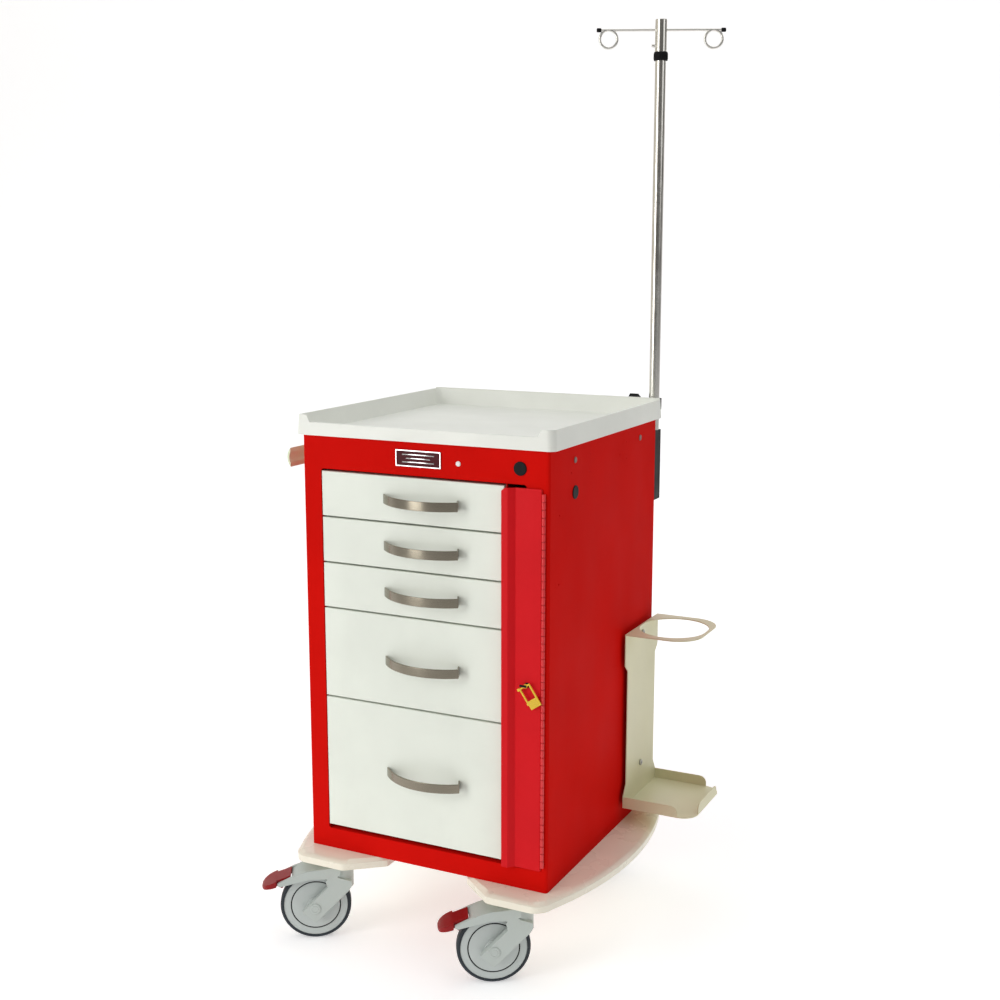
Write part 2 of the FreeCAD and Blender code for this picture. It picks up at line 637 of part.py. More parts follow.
# ---- base ------------------------------------------------------------------------------------------
def lobe_outline(inset, z):
    """Plan outline of the right base moulding, moved inwards by inset on its outer sides."""
    front = BASE_FRONT_Y + inset
    back = CAB_D - front
    middle = CAB_D / 2
    widest = BASE_HALF_WIDTH - inset
    corner_x = BASE_CORNER_X - inset
    soft = BASE_CORNER_R - inset * 0.4
    nose = BASE_NOSE_INNER_X + inset * 0.4
    inner_y = BASE_INNER_Y + inset * 0.6
    shoulder = 0.35 * soft
    front_arc = (V(corner_x - soft, front, z), V(corner_x - shoulder, front + shoulder, z),
                 V(corner_x + 2, front + soft + 4, z))
    back_arc = (V(corner_x + 2, back - soft - 4, z), V(corner_x - shoulder, back - shoulder, z),
                V(corner_x - soft, back, z))
    rise = BASE_NOSE_RISE
    bend = 1.4
    edges = [
        Part.makeLine(V(BASE_INNER_X, inner_y, z), V(nose - BASE_NOSE, front + rise, z)),
        Part.Arc(V(nose - BASE_NOSE, front + rise, z), V(nose - 2, front + bend, z),
                 V(nose + BASE_NOSE, front, z)).toShape(),
        Part.makeLine(V(nose + BASE_NOSE, front, z), front_arc[0]),
        Part.Arc(*front_arc).toShape(),
        Part.Arc(front_arc[2], V(widest, middle, z), back_arc[0]).toShape(),
        Part.Arc(*back_arc).toShape(),
        Part.makeLine(back_arc[2], V(nose + BASE_NOSE, back, z)),
        Part.Arc(V(nose + BASE_NOSE, back, z), V(nose - 2, back - bend, z),
                 V(nose - BASE_NOSE, back - rise, z)).toShape(),
        Part.makeLine(V(nose - BASE_NOSE, back - rise, z), V(BASE_INNER_X, CAB_D - inner_y, z)),
        Part.makeLine(V(BASE_INNER_X, CAB_D - inner_y, z), V(BASE_INNER_X, inner_y, z)),
    ]
    return Part.Wire(edges)


def base_bumpers():
    """Two lobed base mouldings, one under each side, with a sloping shoulder all round."""
    edge = Part.Face(lobe_outline(0, BASE_BOTTOM)).extrude(V(0, 0, BASE_EDGE_TOP - BASE_BOTTOM))
    top = lobe_outline(BASE_SLOPE, CAB_BOTTOM - SEAT_GAP)
    slope = Part.makeLoft([lobe_outline(0, BASE_EDGE_TOP), top], True, True)
    lobe = fuse([edge, slope])
    for y in caster_rows():
        lobe = lobe.cut(rod(STEM_R, (CASTER_X, y, BASE_BOTTOM - 1), (CASTER_X, y, CAB_BOTTOM)))
    return group([lobe, mirror_x(lobe)])


def base_frame():
    """Steel chassis between the mouldings: two cross rails and a spine."""
    half = BASE_INNER_X - 0.2
    low = BASE_BOTTOM + 1
    high = CAB_BOTTOM - SEAT_GAP
    reach = FRAME_RAIL_HALF
    wall = FRAME_WALL
    rails = []
    for y in (FRAME_RAIL_Y, CAB_D - FRAME_RAIL_Y):
        rails.append(box(-half, half, y - reach, y + reach, high - wall, high))
        rails.append(box(-half, half, y - reach, y - reach + wall, low, high))
        rails.append(box(-half, half, y + reach - wall, y + reach, low, high))
    rails.append(box(-reach, reach, FRAME_RAIL_Y, CAB_D - FRAME_RAIL_Y, high - wall, high))
    return fuse(rails)


def caster_rows():
    return CASTER_FRONT_Y, CAB_D - CASTER_FRONT_Y


def caster_stems():
    stems = []
    for x in (-CASTER_X, CASTER_X):
        for y in caster_rows():
            stems.append(rod(STEM_R, (x, y, NECK_TOP - STEM_LENGTH), (x, y, CAB_BOTTOM - SEAT_GAP)))
    return group(stems)


# ---- casters, each built trailing along +X with its swivel axis at x = 0, y = 0 ----------------------
def upright_slab(points, y0, y1):
    """Solid from an outline in the x-z plane, between two y values."""
    return prism([(s, y0, z) for s, z in points], (0, y1 - y0, 0))


def fork_leg(side):
    """Broad arm from the neck down to the axle, on one side of the wheel."""
    y0 = side * (HOUSING_HALF_WIDTH - LEG_THICK)
    y1 = side * HOUSING_HALF_WIDTH
    return upright_slab(LEG_OUTLINE, y0, y1)


def arch(outer, inner, half, end_s):
    """Arched slab over the wheel's top, from above the neck to end_s."""
    curve = ring(outer, inner, (WHEEL_TRAIL, -half, WHEEL_R), (WHEEL_TRAIL, half, WHEEL_R))
    return curve.common(box(0, end_s, -half, half, *ARCH_Z))


def side_wall(side):
    """Hood's side wall, which runs on past the roof as a straight tail."""
    outer = side * HOUSING_HALF_WIDTH
    inner = side * (HOUSING_HALF_WIDTH - HOUSING_WALL)
    tail = tuple((TAIL_END_S, z) for z in HOOD_WALL_END_Z)
    wall = upright_slab(HOOD_WALL_LOWER + tail + HOOD_WALL_UPPER, inner, outer)
    near_end = TAIL_END_S - 1
    return round_edges(wall, WALL_END_R, lambda e: runs_along(e, Y_AXIS) and e.CenterOfMass.x > near_end)


def caster_body(with_pedal):
    """Moulded swivel housing: neck, shoulder, arched roof with side walls, and two fork legs."""
    half = HOUSING_HALF_WIDTH
    inner = half - HOUSING_WALL
    neck = rod(NECK_R, (0, 0, NECK_BOTTOM), (0, 0, NECK_TOP))
    shoulder = upright_slab(SHOULDER_OUTLINE, -half, half)
    roof = arch(HOOD_OUTER_R, HOOD_INNER_R, half, HOOD_END_S)
    hood = fuse([neck, shoulder, roof, side_wall(-1), side_wall(1)])
    hood = hood.cut(rod(HOOD_INNER_R - 1, (WHEEL_TRAIL, -inner, WHEEL_R), (WHEEL_TRAIL, inner, WHEEL_R)))
    body = fuse([hood, fork_leg(-1), fork_leg(1)])
    stem_bore = rod(STEM_BORE_R, (0, 0, NECK_TOP - STEM_LENGTH - 1), (0, 0, NECK_TOP + 1))
    axle_bore = rod(AXLE_R, (WHEEL_TRAIL, -half - 1, WHEEL_R), (WHEEL_TRAIL, half + 1, WHEEL_R))
    body = body.cut(stem_bore).cut(axle_bore)
    if with_pedal:
        body = body.cut(rod(PEDAL_PIN_R, (PEDAL_PIN_S, -half, PEDAL_PIN_Z), (PEDAL_PIN_S, half, PEDAL_PIN_Z)))
    return body


def caster_axle():
    half = HOUSING_HALF_WIDTH
    shaft = rod(AXLE_R, (WHEEL_TRAIL, -half, WHEEL_R), (WHEEL_TRAIL, half, WHEEL_R))
    cap_end = half + AXLE_CAP
    caps = [rod(AXLE_CAP_R, (WHEEL_TRAIL, side * half, WHEEL_R), (WHEEL_TRAIL, side * cap_end, WHEEL_R))
            for side in (-1, 1)]
    return fuse([shaft] + caps)


def caster_wheel():
    """Rim, disc and hub in one moulding, with a groove ring in each face."""
    half = DISC_HALF_WIDTH
    disc = ring(TYRE_INNER_R, HUB_BORE_R, (WHEEL_TRAIL, -half, WHEEL_R), (WHEEL_TRAIL, half, WHEEL_R))
    hub_half = HUB_HALF_WIDTH
    hub = ring(HUB_R, HUB_BORE_R, (WHEEL_TRAIL, -hub_half, WHEEL_R), (WHEEL_TRAIL, hub_half, WHEEL_R))
    disc = round_edges(disc, 1.2, lambda e: abs(e.Length - 2 * math.pi * TYRE_INNER_R) < 0.1)
    wheel = fuse([disc, hub])
    for side in (-1, 1):
        face = (WHEEL_TRAIL, side * (half - GROOVE_DEPTH), WHEEL_R)
        outside = (WHEEL_TRAIL, side * (half + 1), WHEEL_R)
        wheel = wheel.cut(ring(GROOVE_OUTER_R, GROOVE_INNER_R, face, outside))
    return wheel


def caster_tyre():
    """Grey-black tread with rounded shoulders."""
    half = TYRE_HALF_WIDTH
    tyre = ring(WHEEL_R, TYRE_INNER_R, (WHEEL_TRAIL, -half, WHEEL_R), (WHEEL_TRAIL, half, WHEEL_R))
    return round_edges(tyre, TYRE_SHOULDER_R, lambda e: abs(e.Length - 2 * math.pi * WHEEL_R) < 0.1)


def brake_pedal():
    """Foot lever on a pin between the hood's walls, flared beyond them, with a brake shoe below."""
    outline = PEDAL_TOP + PEDAL_BELOW
    half = PEDAL_HALF_WIDTH
    neck = upright_slab(outline, -PEDAL_NECK_HALF, PEDAL_NECK_HALF)
    neck = neck.cut(box(PEDAL_NECK_END, PEDAL_END_S + 1, -half, half, PEDAL_LOW, PEDAL_HIGH))
    plan = rounded_slab(PEDAL_PLAN_START, PEDAL_END_S, -half, half, PEDAL_CORNER_R, PEDAL_LOW, PEDAL_HIGH)
    plan = plan.common(box(PEDAL_FLARE_S, PEDAL_END_S, -half, half, PEDAL_LOW, PEDAL_HIGH))
    lever = fuse([neck, upright_slab(outline, -half, half).common(plan)])
    side = PEDAL_NECK_HALF - PEDAL_WALL
    hollow = upright_slab(PEDAL_HOLLOW, -side, side)
    pin_hole = rod(PEDAL_PIN_R + 0.05, (PEDAL_PIN_S, -half, PEDAL_PIN_Z), (PEDAL_PIN_S, half, PEDAL_PIN_Z))
    shoe = upright_slab(SHOE_OUTLINE, -SHOE_HALF_WIDTH, SHOE_HALF_WIDTH)
    return group([lever.cut(hollow).cut(pin_hole), shoe])


def pedal_pin():
    half = HOUSING_HALF_WIDTH
    return rod(PEDAL_PIN_R, (PEDAL_PIN_S, -half, PEDAL_PIN_Z), (PEDAL_PIN_S, half, PEDAL_PIN_Z))


def place_caster(shape, x, y):
    placed = shape.copy()
    placed.rotate(V(0, 0, 0), Z_AXIS, CASTER_ANGLE)
    placed.translate(V(x, y, 0))
    return placed


def casters():
    """Nodes of the four casters; the front two have brake pedals."""
    nodes = {}
    front_y, back_y = caster_rows()
    for row, y, braked in (("front", front_y, True), ("rear", back_y, False)):
        solids = [caster_body(braked), caster_axle()] + ([pedal_pin()] if braked else [])
        for side, x in (("left", -CASTER_X), ("right", CASTER_X)):
            name = "caster_" + row + "_" + side
            nodes[name + "_housing"] = place_caster(group(solids), x, y)
            nodes[name + "_wheel"] = place_caster(caster_wheel(), x, y)
            nodes[name + "_tyre"] = place_caster(caster_tyre(), x, y)
            if braked:
                nodes["brake_pedal_" + side] = place_caster(brake_pedal(), x, y)
    return nodes


# ---- work tray ---------------------------------------------------------------------------------------
def tapered(half0, half1, front0, front1, back0, back1, radius, z0, z1):
    low = rounded_outline(-half0, half0, front0, back0, radius, z0)
    high = rounded_outline(-half1, half1, front1, back1, radius, z1)
    return Part.makeLoft([low, high], True, True)


def work_tray():
    """Moulded tray: skirt outside, sloping wall inside, lower lip at the front, hollow underneath."""
    lean = TRAY_HALF_BOTTOM - TRAY_HALF_TOP
    outer = tapered(TRAY_HALF_BOTTOM, TRAY_HALF_TOP, TRAY_FRONT, TRAY_FRONT + lean, TRAY_BACK,
                    TRAY_BACK - lean, TRAY_CORNER_R, TRAY_SKIRT_BOTTOM, TRAY_RIM)
    rim = TRAY_HALF_TOP - TRAY_RIM_THICK
    floor = rim - TRAY_WALL_SPREAD
    rim_front = TRAY_FRONT + lean + TRAY_RIM_THICK
    rim_back = TRAY_BACK - lean - TRAY_RIM_THICK
    well = tapered(floor, rim, rim_front + TRAY_WALL_SPREAD, rim_front, rim_back - TRAY_WALL_SPREAD, rim_back,
                   TRAY_CORNER_R - 3, TRAY_FLOOR_TOP, TRAY_RIM)
    half = CAB_W / 2 + TRAY_GAP
    seat = box(-half, half, -TRAY_GAP, CAB_D + TRAY_GAP, TRAY_SKIRT_BOTTOM, CAB_TOP)
    front = TRAY_FRONT - 1
    notch = prism([(-NOTCH_HALF_TOP, front, TRAY_RIM + 1), (NOTCH_HALF_TOP, front, TRAY_RIM + 1),
                   (NOTCH_HALF_BOTTOM, front, TRAY_LIP), (-NOTCH_HALF_BOTTOM, front, TRAY_LIP)],
                  (0, NOTCH_DEPTH, 0))
    ledge = rounded_slab(-TRAY_HALF_TOP, TRAY_HALF_TOP, rim_back - 2 * TRAY_CORNER_R, TRAY_BACK - lean,
                         TRAY_CORNER_R, TRAY_RIM - 1, TRAY_BACK_RIM)
    ledge = ledge.common(box(-TRAY_HALF_TOP, TRAY_HALF_TOP, rim_back, TRAY_BACK, TRAY_RIM - 1, TRAY_BACK_RIM))
    return fuse([outer.cut(well).cut(seat).cut(notch), ledge])


# ---- badge, plugs, holes and screws ------------------------------------------------------------------
def badge_block(rim, depth):
    """Slab of the badge's outline, smaller by rim all round."""
    return box(BADGE_X[0] + rim, BADGE_X[1] - rim, -depth, 0, BADGE_Z[0] + rim, BADGE_Z[1] - rim)


def badge_frame():
    outer = badge_block(0, BADGE_DEPTH)
    outer = round_edges(outer, BADGE_EDGE_R, lambda e: abs(e.CenterOfMass.y + BADGE_DEPTH) < 0.01)
    return outer.cut(badge_block(BADGE_RIM, BADGE_DEPTH + 1))


def badge_plate():
    return badge_block(BADGE_RIM, BADGE_FIELD_DEPTH)


def indicator_lens():
    lens = rod(LENS_R, (LENS_X, -LENS_DEPTH, LENS_Z), (LENS_X, 0, LENS_Z))
    return round_edges(lens, LENS_EDGE_R, lambda e: abs(e.CenterOfMass.y + LENS_DEPTH) < 0.01)


def plug(head_r, bore_r, position, inward):
    """Snap-in plug: a low round head on the sheet and a shank through its hole."""
    seat = V(*position)
    step = V(*inward)
    head_end = seat - step * PLUG_HEAD
    head = Part.makeCylinder(head_r, PLUG_HEAD, head_end, step)
    head = round_edges(head, PLUG_EDGE_R, lambda e: (e.CenterOfMass - head_end).Length < 0.01)
    shank = Part.makeCylinder(bore_r, SHEET + 1, seat, step)
    return fuse([head, shank])


def black_hole_plugs():
    half = CAB_W / 2
    plugs = [plug(PLUG_HEAD_R, PLUG_BORE_R, (PLUG_X, 0, PLUG_Z), (0, 1, 0))]
    plugs += [plug(PLUG_HEAD_R, PLUG_BORE_R, (half, y, z), (-1, 0, 0)) for y, z in BLACK_PLUG_SIDE]
    return group(plugs)


def side_hole_plugs():
    half = CAB_W / 2
    return group([plug(SIDE_PLUG_HEAD_R, SIDE_PLUG_BORE_R, (half, y, z), (-1, 0, 0)) for y, z in SIDE_PLUGS])


def pan_head(position, outward, radius, height):
    head = Part.makeCylinder(radius, height, V(*position), V(*outward))
    top = height - 0.01
    return round_edges(head, SCREW_EDGE_R, lambda e: (e.CenterOfMass - V(*position)).dot(V(*outward)) > top)


def mounting_screws():
    """Pan-head screws of the push handle and the tank bracket, with the bracket's spacers."""
    half = CAB_W / 2
    seat = -half - ARM_SHEET
    screws = [pan_head((seat, y + dy, ARM_SCREW_Z), (-1, 0, 0), SCREW_R, SCREW_HEIGHT)
              for y in ARM_Y for dy in ARM_SCREW_Y]
    face = BRACKET_X + BRACKET_SHEET
    for z in BRACKET_SCREW_Z:
        screws.append(pan_head((face, BRACKET_Y, z), (1, 0, 0), BRACKET_SCREW_R, BRACKET_SCREW_HEIGHT))
        screws.append(rod(SPACER_R, (half, BRACKET_Y, z), (BRACKET_X, BRACKET_Y, z)))
    return group(screws)


# ---- push handle ---------------------------------------------------------------------------------------
def push_handle():
    """Long bowed grip strip on two arms that bolt to the left side."""
    height = GRIP_TOP - GRIP_BOTTOM
    radius = ((height / 2) ** 2 + GRIP_BULGE ** 2) / (2 * GRIP_BULGE)
    middle = (GRIP_TOP + GRIP_BOTTOM) / 2
    centre_x = GRIP_X - GRIP_BULGE + radius
    strip = ring(radius, radius - GRIP_THICK, (centre_x, GRIP_FRONT, middle), (centre_x, GRIP_BACK, middle))
    strip = strip.common(box(GRIP_X - 2 * GRIP_BULGE, GRIP_X, GRIP_FRONT, GRIP_BACK, GRIP_BOTTOM, GRIP_TOP))
    side = -CAB_W / 2
    root = side - ARM_SHEET + 0.5
    tip = GRIP_X - GRIP_SEAT
    pieces = [strip]
    for y in ARM_Y:
        pieces.append(box(side - ARM_SHEET, side, y - ARM_HALF, y + ARM_HALF, GRIP_BOTTOM + 3, ARM_TOP))
        for edge in ARM_WEB_Y:
            pieces.append(prism([(root, y + edge, GRIP_BOTTOM + 4), (tip, y + edge, GRIP_BOTTOM + 6),
                                 (tip, y + edge, GRIP_TOP - 6), (root, y + edge, GRIP_TOP + 1)],
                                (0, ARM_WEB, 0)))
    return fuse(pieces)


# ---- oxygen tank bracket ---------------------------------------------------------------------------------
def bracket_back():
    """Back plate, wide at both ends and narrower between, with two screw holes."""
    w = BRACKET_HALF
    n = BRACKET_WAIST_HALF
    foot_z, waist_low, waist_high, head_z = BRACKET_SHOULDER_Z
    half_outline = [(w, BRACKET_BOTTOM), (w, foot_z), (n, waist_low), (n, waist_high), (w, head_z),
                    (w, BRACKET_TOP)]
    left = [(BRACKET_X, BRACKET_Y - d, z) for d, z in half_outline]
    right = [(BRACKET_X, BRACKET_Y + d, z) for d, z in reversed(half_outline)]
    return prism(left + right, (BRACKET_SHEET, 0, 0))


def ring_plate():
    """Level plate that steadies the tank, with a large rounded hole."""
    start = BRACKET_X
    y0 = BRACKET_Y - BRACKET_HALF
    y1 = BRACKET_Y + BRACKET_HALF
    low = BRACKET_TOP - BRACKET_SHEET
    plate = rounded_slab(start - 60, RING_REACH, y0, y1, RING_CORNER_R, low, BRACKET_TOP)
    plate = plate.common(box(start, RING_REACH + 1, y0, y1, low, BRACKET_TOP))
    s = RING_HOLE_STRETCH
    below = low - 1
    above = BRACKET_TOP + 1
    x = RING_HOLE_X
    holes = [rod(RING_HOLE_R, (x, y, below), (x, y, above)) for y in (BRACKET_Y - s, BRACKET_Y + s)]
    holes.append(box(x - RING_HOLE_R, x + RING_HOLE_R, BRACKET_Y - s, BRACKET_Y + s, below, above))
    return plate.cut(fuse(holes))


def bracket_foot():
    """Floor for the tank's base, with three upturned flanges that have rounded ends."""
    y0 = BRACKET_Y - BRACKET_HALF
    y1 = BRACKET_Y + BRACKET_HALF
    low = BRACKET_BOTTOM
    high = low + BRACKET_FLANGE
    corner = FOOT_CORNER_R
    floor = rounded_slab(BRACKET_X - 2 * corner, FOOT_REACH, y0, y1, corner, low, low + BRACKET_SHEET)
    floor = floor.common(box(BRACKET_X, FOOT_REACH, y0, y1, low, high))
    side_end = FOOT_REACH - corner
    pieces = [floor]
    for start_y in (y0, y1 - BRACKET_SHEET):
        flange = box(BRACKET_X, side_end, start_y, start_y + BRACKET_SHEET, low, high)
        flange = round_edges(flange, FLANGE_END_R, lambda e: runs_along(e, Y_AXIS)
                             and e.CenterOfMass.x > side_end - 1 and e.CenterOfMass.z > high - 1)
        pieces.append(flange)
    outer = box(FOOT_REACH - BRACKET_SHEET, FOOT_REACH, y0 + corner, y1 - corner, low, high)
    outer = round_edges(outer, FLANGE_END_R, lambda e: runs_along(e, X_AXIS) and e.CenterOfMass.z > high - 1)
    return pieces + [outer]


def tank_bracket():
    body = fuse([bracket_back(), ring_plate()] + bracket_foot())
    for z in BRACKET_SCREW_Z:
        body = body.cut(rod(BRACKET_HOLE_R, (BRACKET_X - 1, BRACKET_Y, z), (BRACKET_X + 4, BRACKET_Y, z)))
    return body


# ---- IV pole -------------------------------------------------------------------------------------------
def at_pole(z, across=0.0):
    """Point on the pole's axis, or out from it along the hook rod's direction."""
    turn = math.radians(HOOK_ANGLE)
    return POLE_X + across * math.cos(turn), POLE_Y + across * math.sin(turn), z


def pole_tube():
    return ring(POLE_R, POLE_BORE_R, at_pole(POLE_BOTTOM), at_pole(POLE_TOP))


def pole_inner_tube():
    return ring(INNER_R, INNER_BORE_R, at_pole(INNER_BOTTOM), at_pole(INNER_TOP))


def pole_collar():
    """Black twist collar on the outer tube's top."""
    collar = rod(COLLAR_R, at_pole(COLLAR_BOTTOM), at_pole(COLLAR_TOP))
    collar = round_edges(collar, 1.0, lambda e: e.Curve.TypeId == "Part::GeomCircle")
    return collar.cut(rod(POLE_R + 0.06, at_pole(COLLAR_BOTTOM - 1), at_pole(COLLAR_TOP + 1)))


def pole_brackets():
    """Black saddles on the cabinet's back, and the clamp block behind the tray."""
    left = POLE_X - SADDLE_LEFT
    right = POLE_X + SADDLE_RIGHT
    saddle = box(left, right, CAB_D, POLE_Y + SADDLE_REACH, SADDLE_BOTTOM, SADDLE_TOP)
    clamp = box(left, right, TRAY_BACK + CLAMP_FRONT_GAP, POLE_Y + CLAMP_REACH, CLAMP_Z - CLAMP_BELOW,
                CLAMP_Z + CLAMP_ABOVE)
    bore = rod(POLE_R, at_pole(POLE_BOTTOM), at_pole(POLE_TOP))
    blocks = []
    for block in (saddle, clamp):
        soft = round_edges(block, BLOCK_EDGE_R, lambda e: runs_along(e, Z_AXIS) and e.CenterOfMass.y > POLE_Y)
        blocks.append(soft.cut(bore))
    thread = rod(THREAD_BORE_R, (left - 1, POLE_Y, CLAMP_Z), (POLE_X - POLE_R + 1, POLE_Y, CLAMP_Z))
    blocks[1] = blocks[1].cut(thread)
    return group(blocks)


def clamp_knob():
    """Lobed hand knob on a screw that presses on the pole."""
    start = KNOB_RIGHT_X - KNOB_LENGTH
    body_end = KNOB_RIGHT_X - KNOB_BOSS
    lobe_at = KNOB_R - KNOB_LOBE_R
    pieces = [
        rod(KNOB_R - 2, (start, POLE_Y, CLAMP_Z), (body_end, POLE_Y, CLAMP_Z)),
        rod(KNOB_BOSS_R, (body_end, POLE_Y, CLAMP_Z), (KNOB_RIGHT_X, POLE_Y, CLAMP_Z)),
        rod(KNOB_SCREW_R, (KNOB_RIGHT_X, POLE_Y, CLAMP_Z), (POLE_X - POLE_R - 0.2, POLE_Y, CLAMP_Z)),
    ]
    for i in range(KNOB_LOBES):
        turn = 2 * math.pi * (i + 0.5) / KNOB_LOBES
        y = POLE_Y + lobe_at * math.cos(turn)
        z = CLAMP_Z + lobe_at * math.sin(turn)
        pieces.append(rod(KNOB_LOBE_R, (start, y, z), (body_end, y, z)))
    return fuse(pieces)


def hook_head():
    """Sleeve on the inner tube with a cross rod that loops once near each end."""
    sleeve = rod(SLEEVE_R, at_pole(SLEEVE_BOTTOM), at_pole(SLEEVE_TOP))
    sleeve = round_edges(sleeve, 1.5, lambda e: abs(e.CenterOfMass.z - SLEEVE_TOP) < 0.01)
    pieces = [sleeve, rod(HOOK_WIRE_R, at_pole(HOOK_Z, -HOOK_WIRE_END), at_pole(HOOK_Z, HOOK_WIRE_END))]
    turn = math.radians(HOOK_ANGLE)
    normal = V(-math.sin(turn), math.cos(turn), 0)
    for side in (-1, 1):
        centre = V(*at_pole(HOOK_Z - HOOK_RING_R, side * HOOK_RING_AT))
        pieces.append(Part.makeTorus(HOOK_RING_R, HOOK_WIRE_R, centre, normal))
    head = fuse(pieces)
    head = head.cut(rod(SLEEVE_BORE_R, at_pole(SLEEVE_BOTTOM - 1), at_pole(INNER_TOP + 0.4)))
    return head.cut(rod(SLEEVE_SCREW_BORE_R, at_pole(SLEEVE_SCREW_Z, 1 - SLEEVE_BORE_R),
                        at_pole(SLEEVE_SCREW_Z, -SLEEVE_R - 1)))


def hook_tips():
    tips = []
    for side in (-1, 1):
        tip = rod(TIP_R, at_pole(HOOK_Z, side * TIP_START), at_pole(HOOK_Z, side * TIP_END))
        tip = round_edges(tip, 1.6, lambda e: e.Curve.TypeId == "Part::GeomCircle")
        inside = at_pole(HOOK_Z, side * (TIP_START - 1))
        tips.append(tip.cut(rod(HOOK_WIRE_R, inside, at_pole(HOOK_Z, side * HOOK_WIRE_END))))
    return group(tips)


def hook_head_screw():
    z = SLEEVE_SCREW_Z
    end = -SLEEVE_R - SLEEVE_SCREW_END
    stem = rod(SLEEVE_SCREW_R, at_pole(z, -SLEEVE_BORE_R - 0.2), at_pole(z, -SLEEVE_R - 1))
    head = rod(SLEEVE_SCREW_HEAD_R, at_pole(z, -SLEEVE_R - 0.6), at_pole(z, end))
    head = round_edges(head, 0.8, lambda e: (e.CenterOfMass - V(*at_pole(z, end))).Length < 0.01)
    return fuse([stem, head])


# ---- assembly --------------------------------------------------------------------------------------------
def build():
    nodes = {
        "cabinet_shell": cabinet_shell(),
        "top_panel": cabinet_end(CAB_TOP - SHEET, CAB_TOP),
        "bottom_panel": cabinet_end(CAB_BOTTOM, CAB_BOTTOM + SHEET),
        "front_frame": front_frame(),
        "slide_uprights": slide_uprights(),
        "cabinet_slide_rails": cabinet_slide_rails(),
        "base_bumpers": base_bumpers(),
        "base_frame": base_frame(),
        "caster_stems": caster_stems(),
        "work_tray": work_tray(),
        "badge_frame": badge_frame(),
        "badge_plate": badge_plate(),
        "indicator_lens": indicator_lens(),
        "black_hole_plugs": black_hole_plugs(),
        "side_hole_plugs": side_hole_plugs(),
        "push_handle": push_handle(),
        "mounting_screws": mounting_screws(),
        "pole_tube": pole_tube(),
        "pole_brackets": pole_brackets(),
        "tank_bracket": tank_bracket(),
        "hinge_leaf_cabinet": hinge_leaf_cabinet(),
        "lock_bar": lock_bar(),
        "hinge_leaf_bar": hinge_leaf_bar(),
        "lock_hasp": lock_hasp(),
        "breakaway_seal": breakaway_seal(),
        "pole_inner_tube": pole_inner_tube(),
        "pole_collar": pole_collar(),
        "hook_head": hook_head(),
        "hook_tips": hook_tips(),
        "hook_head_screw": hook_head_screw(),
        "clamp_knob": clamp_knob(),
    }
    for number, span in enumerate(drawer_spans(), 1):
        name = "drawer_" + str(number)
        nodes[name + "_front"] = drawer_front(span)
        nodes[name + "_box"] = drawer_box(span)
        nodes[name + "_handle"] = drawer_handle(span)
    nodes.update(casters())
    return nodes


def bottom_centre(nodes):
    """Middle of the whole cart's box in plan, at floor level."""
    boxes = [shape.optimalBoundingBox(False) for shape in nodes.values()]
    x = (min(b.XMin for b in boxes) + max(b.XMax for b in boxes)) / 2
    y = (min(b.YMin for b in boxes) + max(b.YMax for b in boxes)) / 2
    return V(x, y, min(b.ZMin for b in boxes))


def main():
    os.makedirs("parts", exist_ok=True)
    nodes = build()
    origin = bottom_centre(nodes)
    print("origin", round(origin.x, 4), round(origin.y, 4), round(origin.z, 4), "nodes", len(nodes))
    for name, shape in nodes.items():
        shape.translate(-origin)
        if not shape.isValid() or min(solid.Volume for solid in shape.Solids) <= 0:
            print("check", name)
        shape.exportStep("parts/" + name + ".step")


main()
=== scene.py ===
"""Looks for the crash cart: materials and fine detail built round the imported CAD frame."""
import json
import math

import bmesh
import bpy
from mathutils import Matrix, Vector


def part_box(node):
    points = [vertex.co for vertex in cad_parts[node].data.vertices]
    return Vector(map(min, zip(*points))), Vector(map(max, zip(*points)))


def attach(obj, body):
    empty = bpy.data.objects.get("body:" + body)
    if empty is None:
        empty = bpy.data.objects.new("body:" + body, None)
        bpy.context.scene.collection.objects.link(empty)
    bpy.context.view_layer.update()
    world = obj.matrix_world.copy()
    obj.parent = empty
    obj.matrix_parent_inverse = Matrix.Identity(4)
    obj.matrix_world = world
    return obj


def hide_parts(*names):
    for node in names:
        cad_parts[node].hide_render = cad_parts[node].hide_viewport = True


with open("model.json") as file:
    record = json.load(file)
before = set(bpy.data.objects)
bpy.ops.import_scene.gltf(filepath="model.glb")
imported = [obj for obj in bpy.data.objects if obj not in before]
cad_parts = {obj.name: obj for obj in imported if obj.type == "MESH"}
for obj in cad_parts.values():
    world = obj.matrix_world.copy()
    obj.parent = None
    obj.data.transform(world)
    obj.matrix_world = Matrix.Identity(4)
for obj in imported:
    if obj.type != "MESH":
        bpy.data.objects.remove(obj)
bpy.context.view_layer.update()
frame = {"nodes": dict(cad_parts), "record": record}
nodes = frame["nodes"]
slot_of = {entry["node"]: entry["material_slot"] for entry in frame["record"]["subparts"]}
body_of = {node: body for body, members in frame["record"]["behaviour"]["bodies"].items() for node in members}

# ---- view: the camera stands in front of the cart's right corner ------------------------------
CAMERA_RIGHT = 1.1215        # from the cabinet's middle
CAMERA_AHEAD = 1.9849        # in front of the cabinet's front face
CAMERA_HEIGHT = 1.2227
CAMERA_AZIMUTH = 26.24       # degrees round from straight ahead
CAMERA_PITCH = 10.36         # degrees down
CAMERA_LENS = 51.05          # mm, on a sensor of SENSOR_WIDTH
SENSOR_WIDTH = 36.0

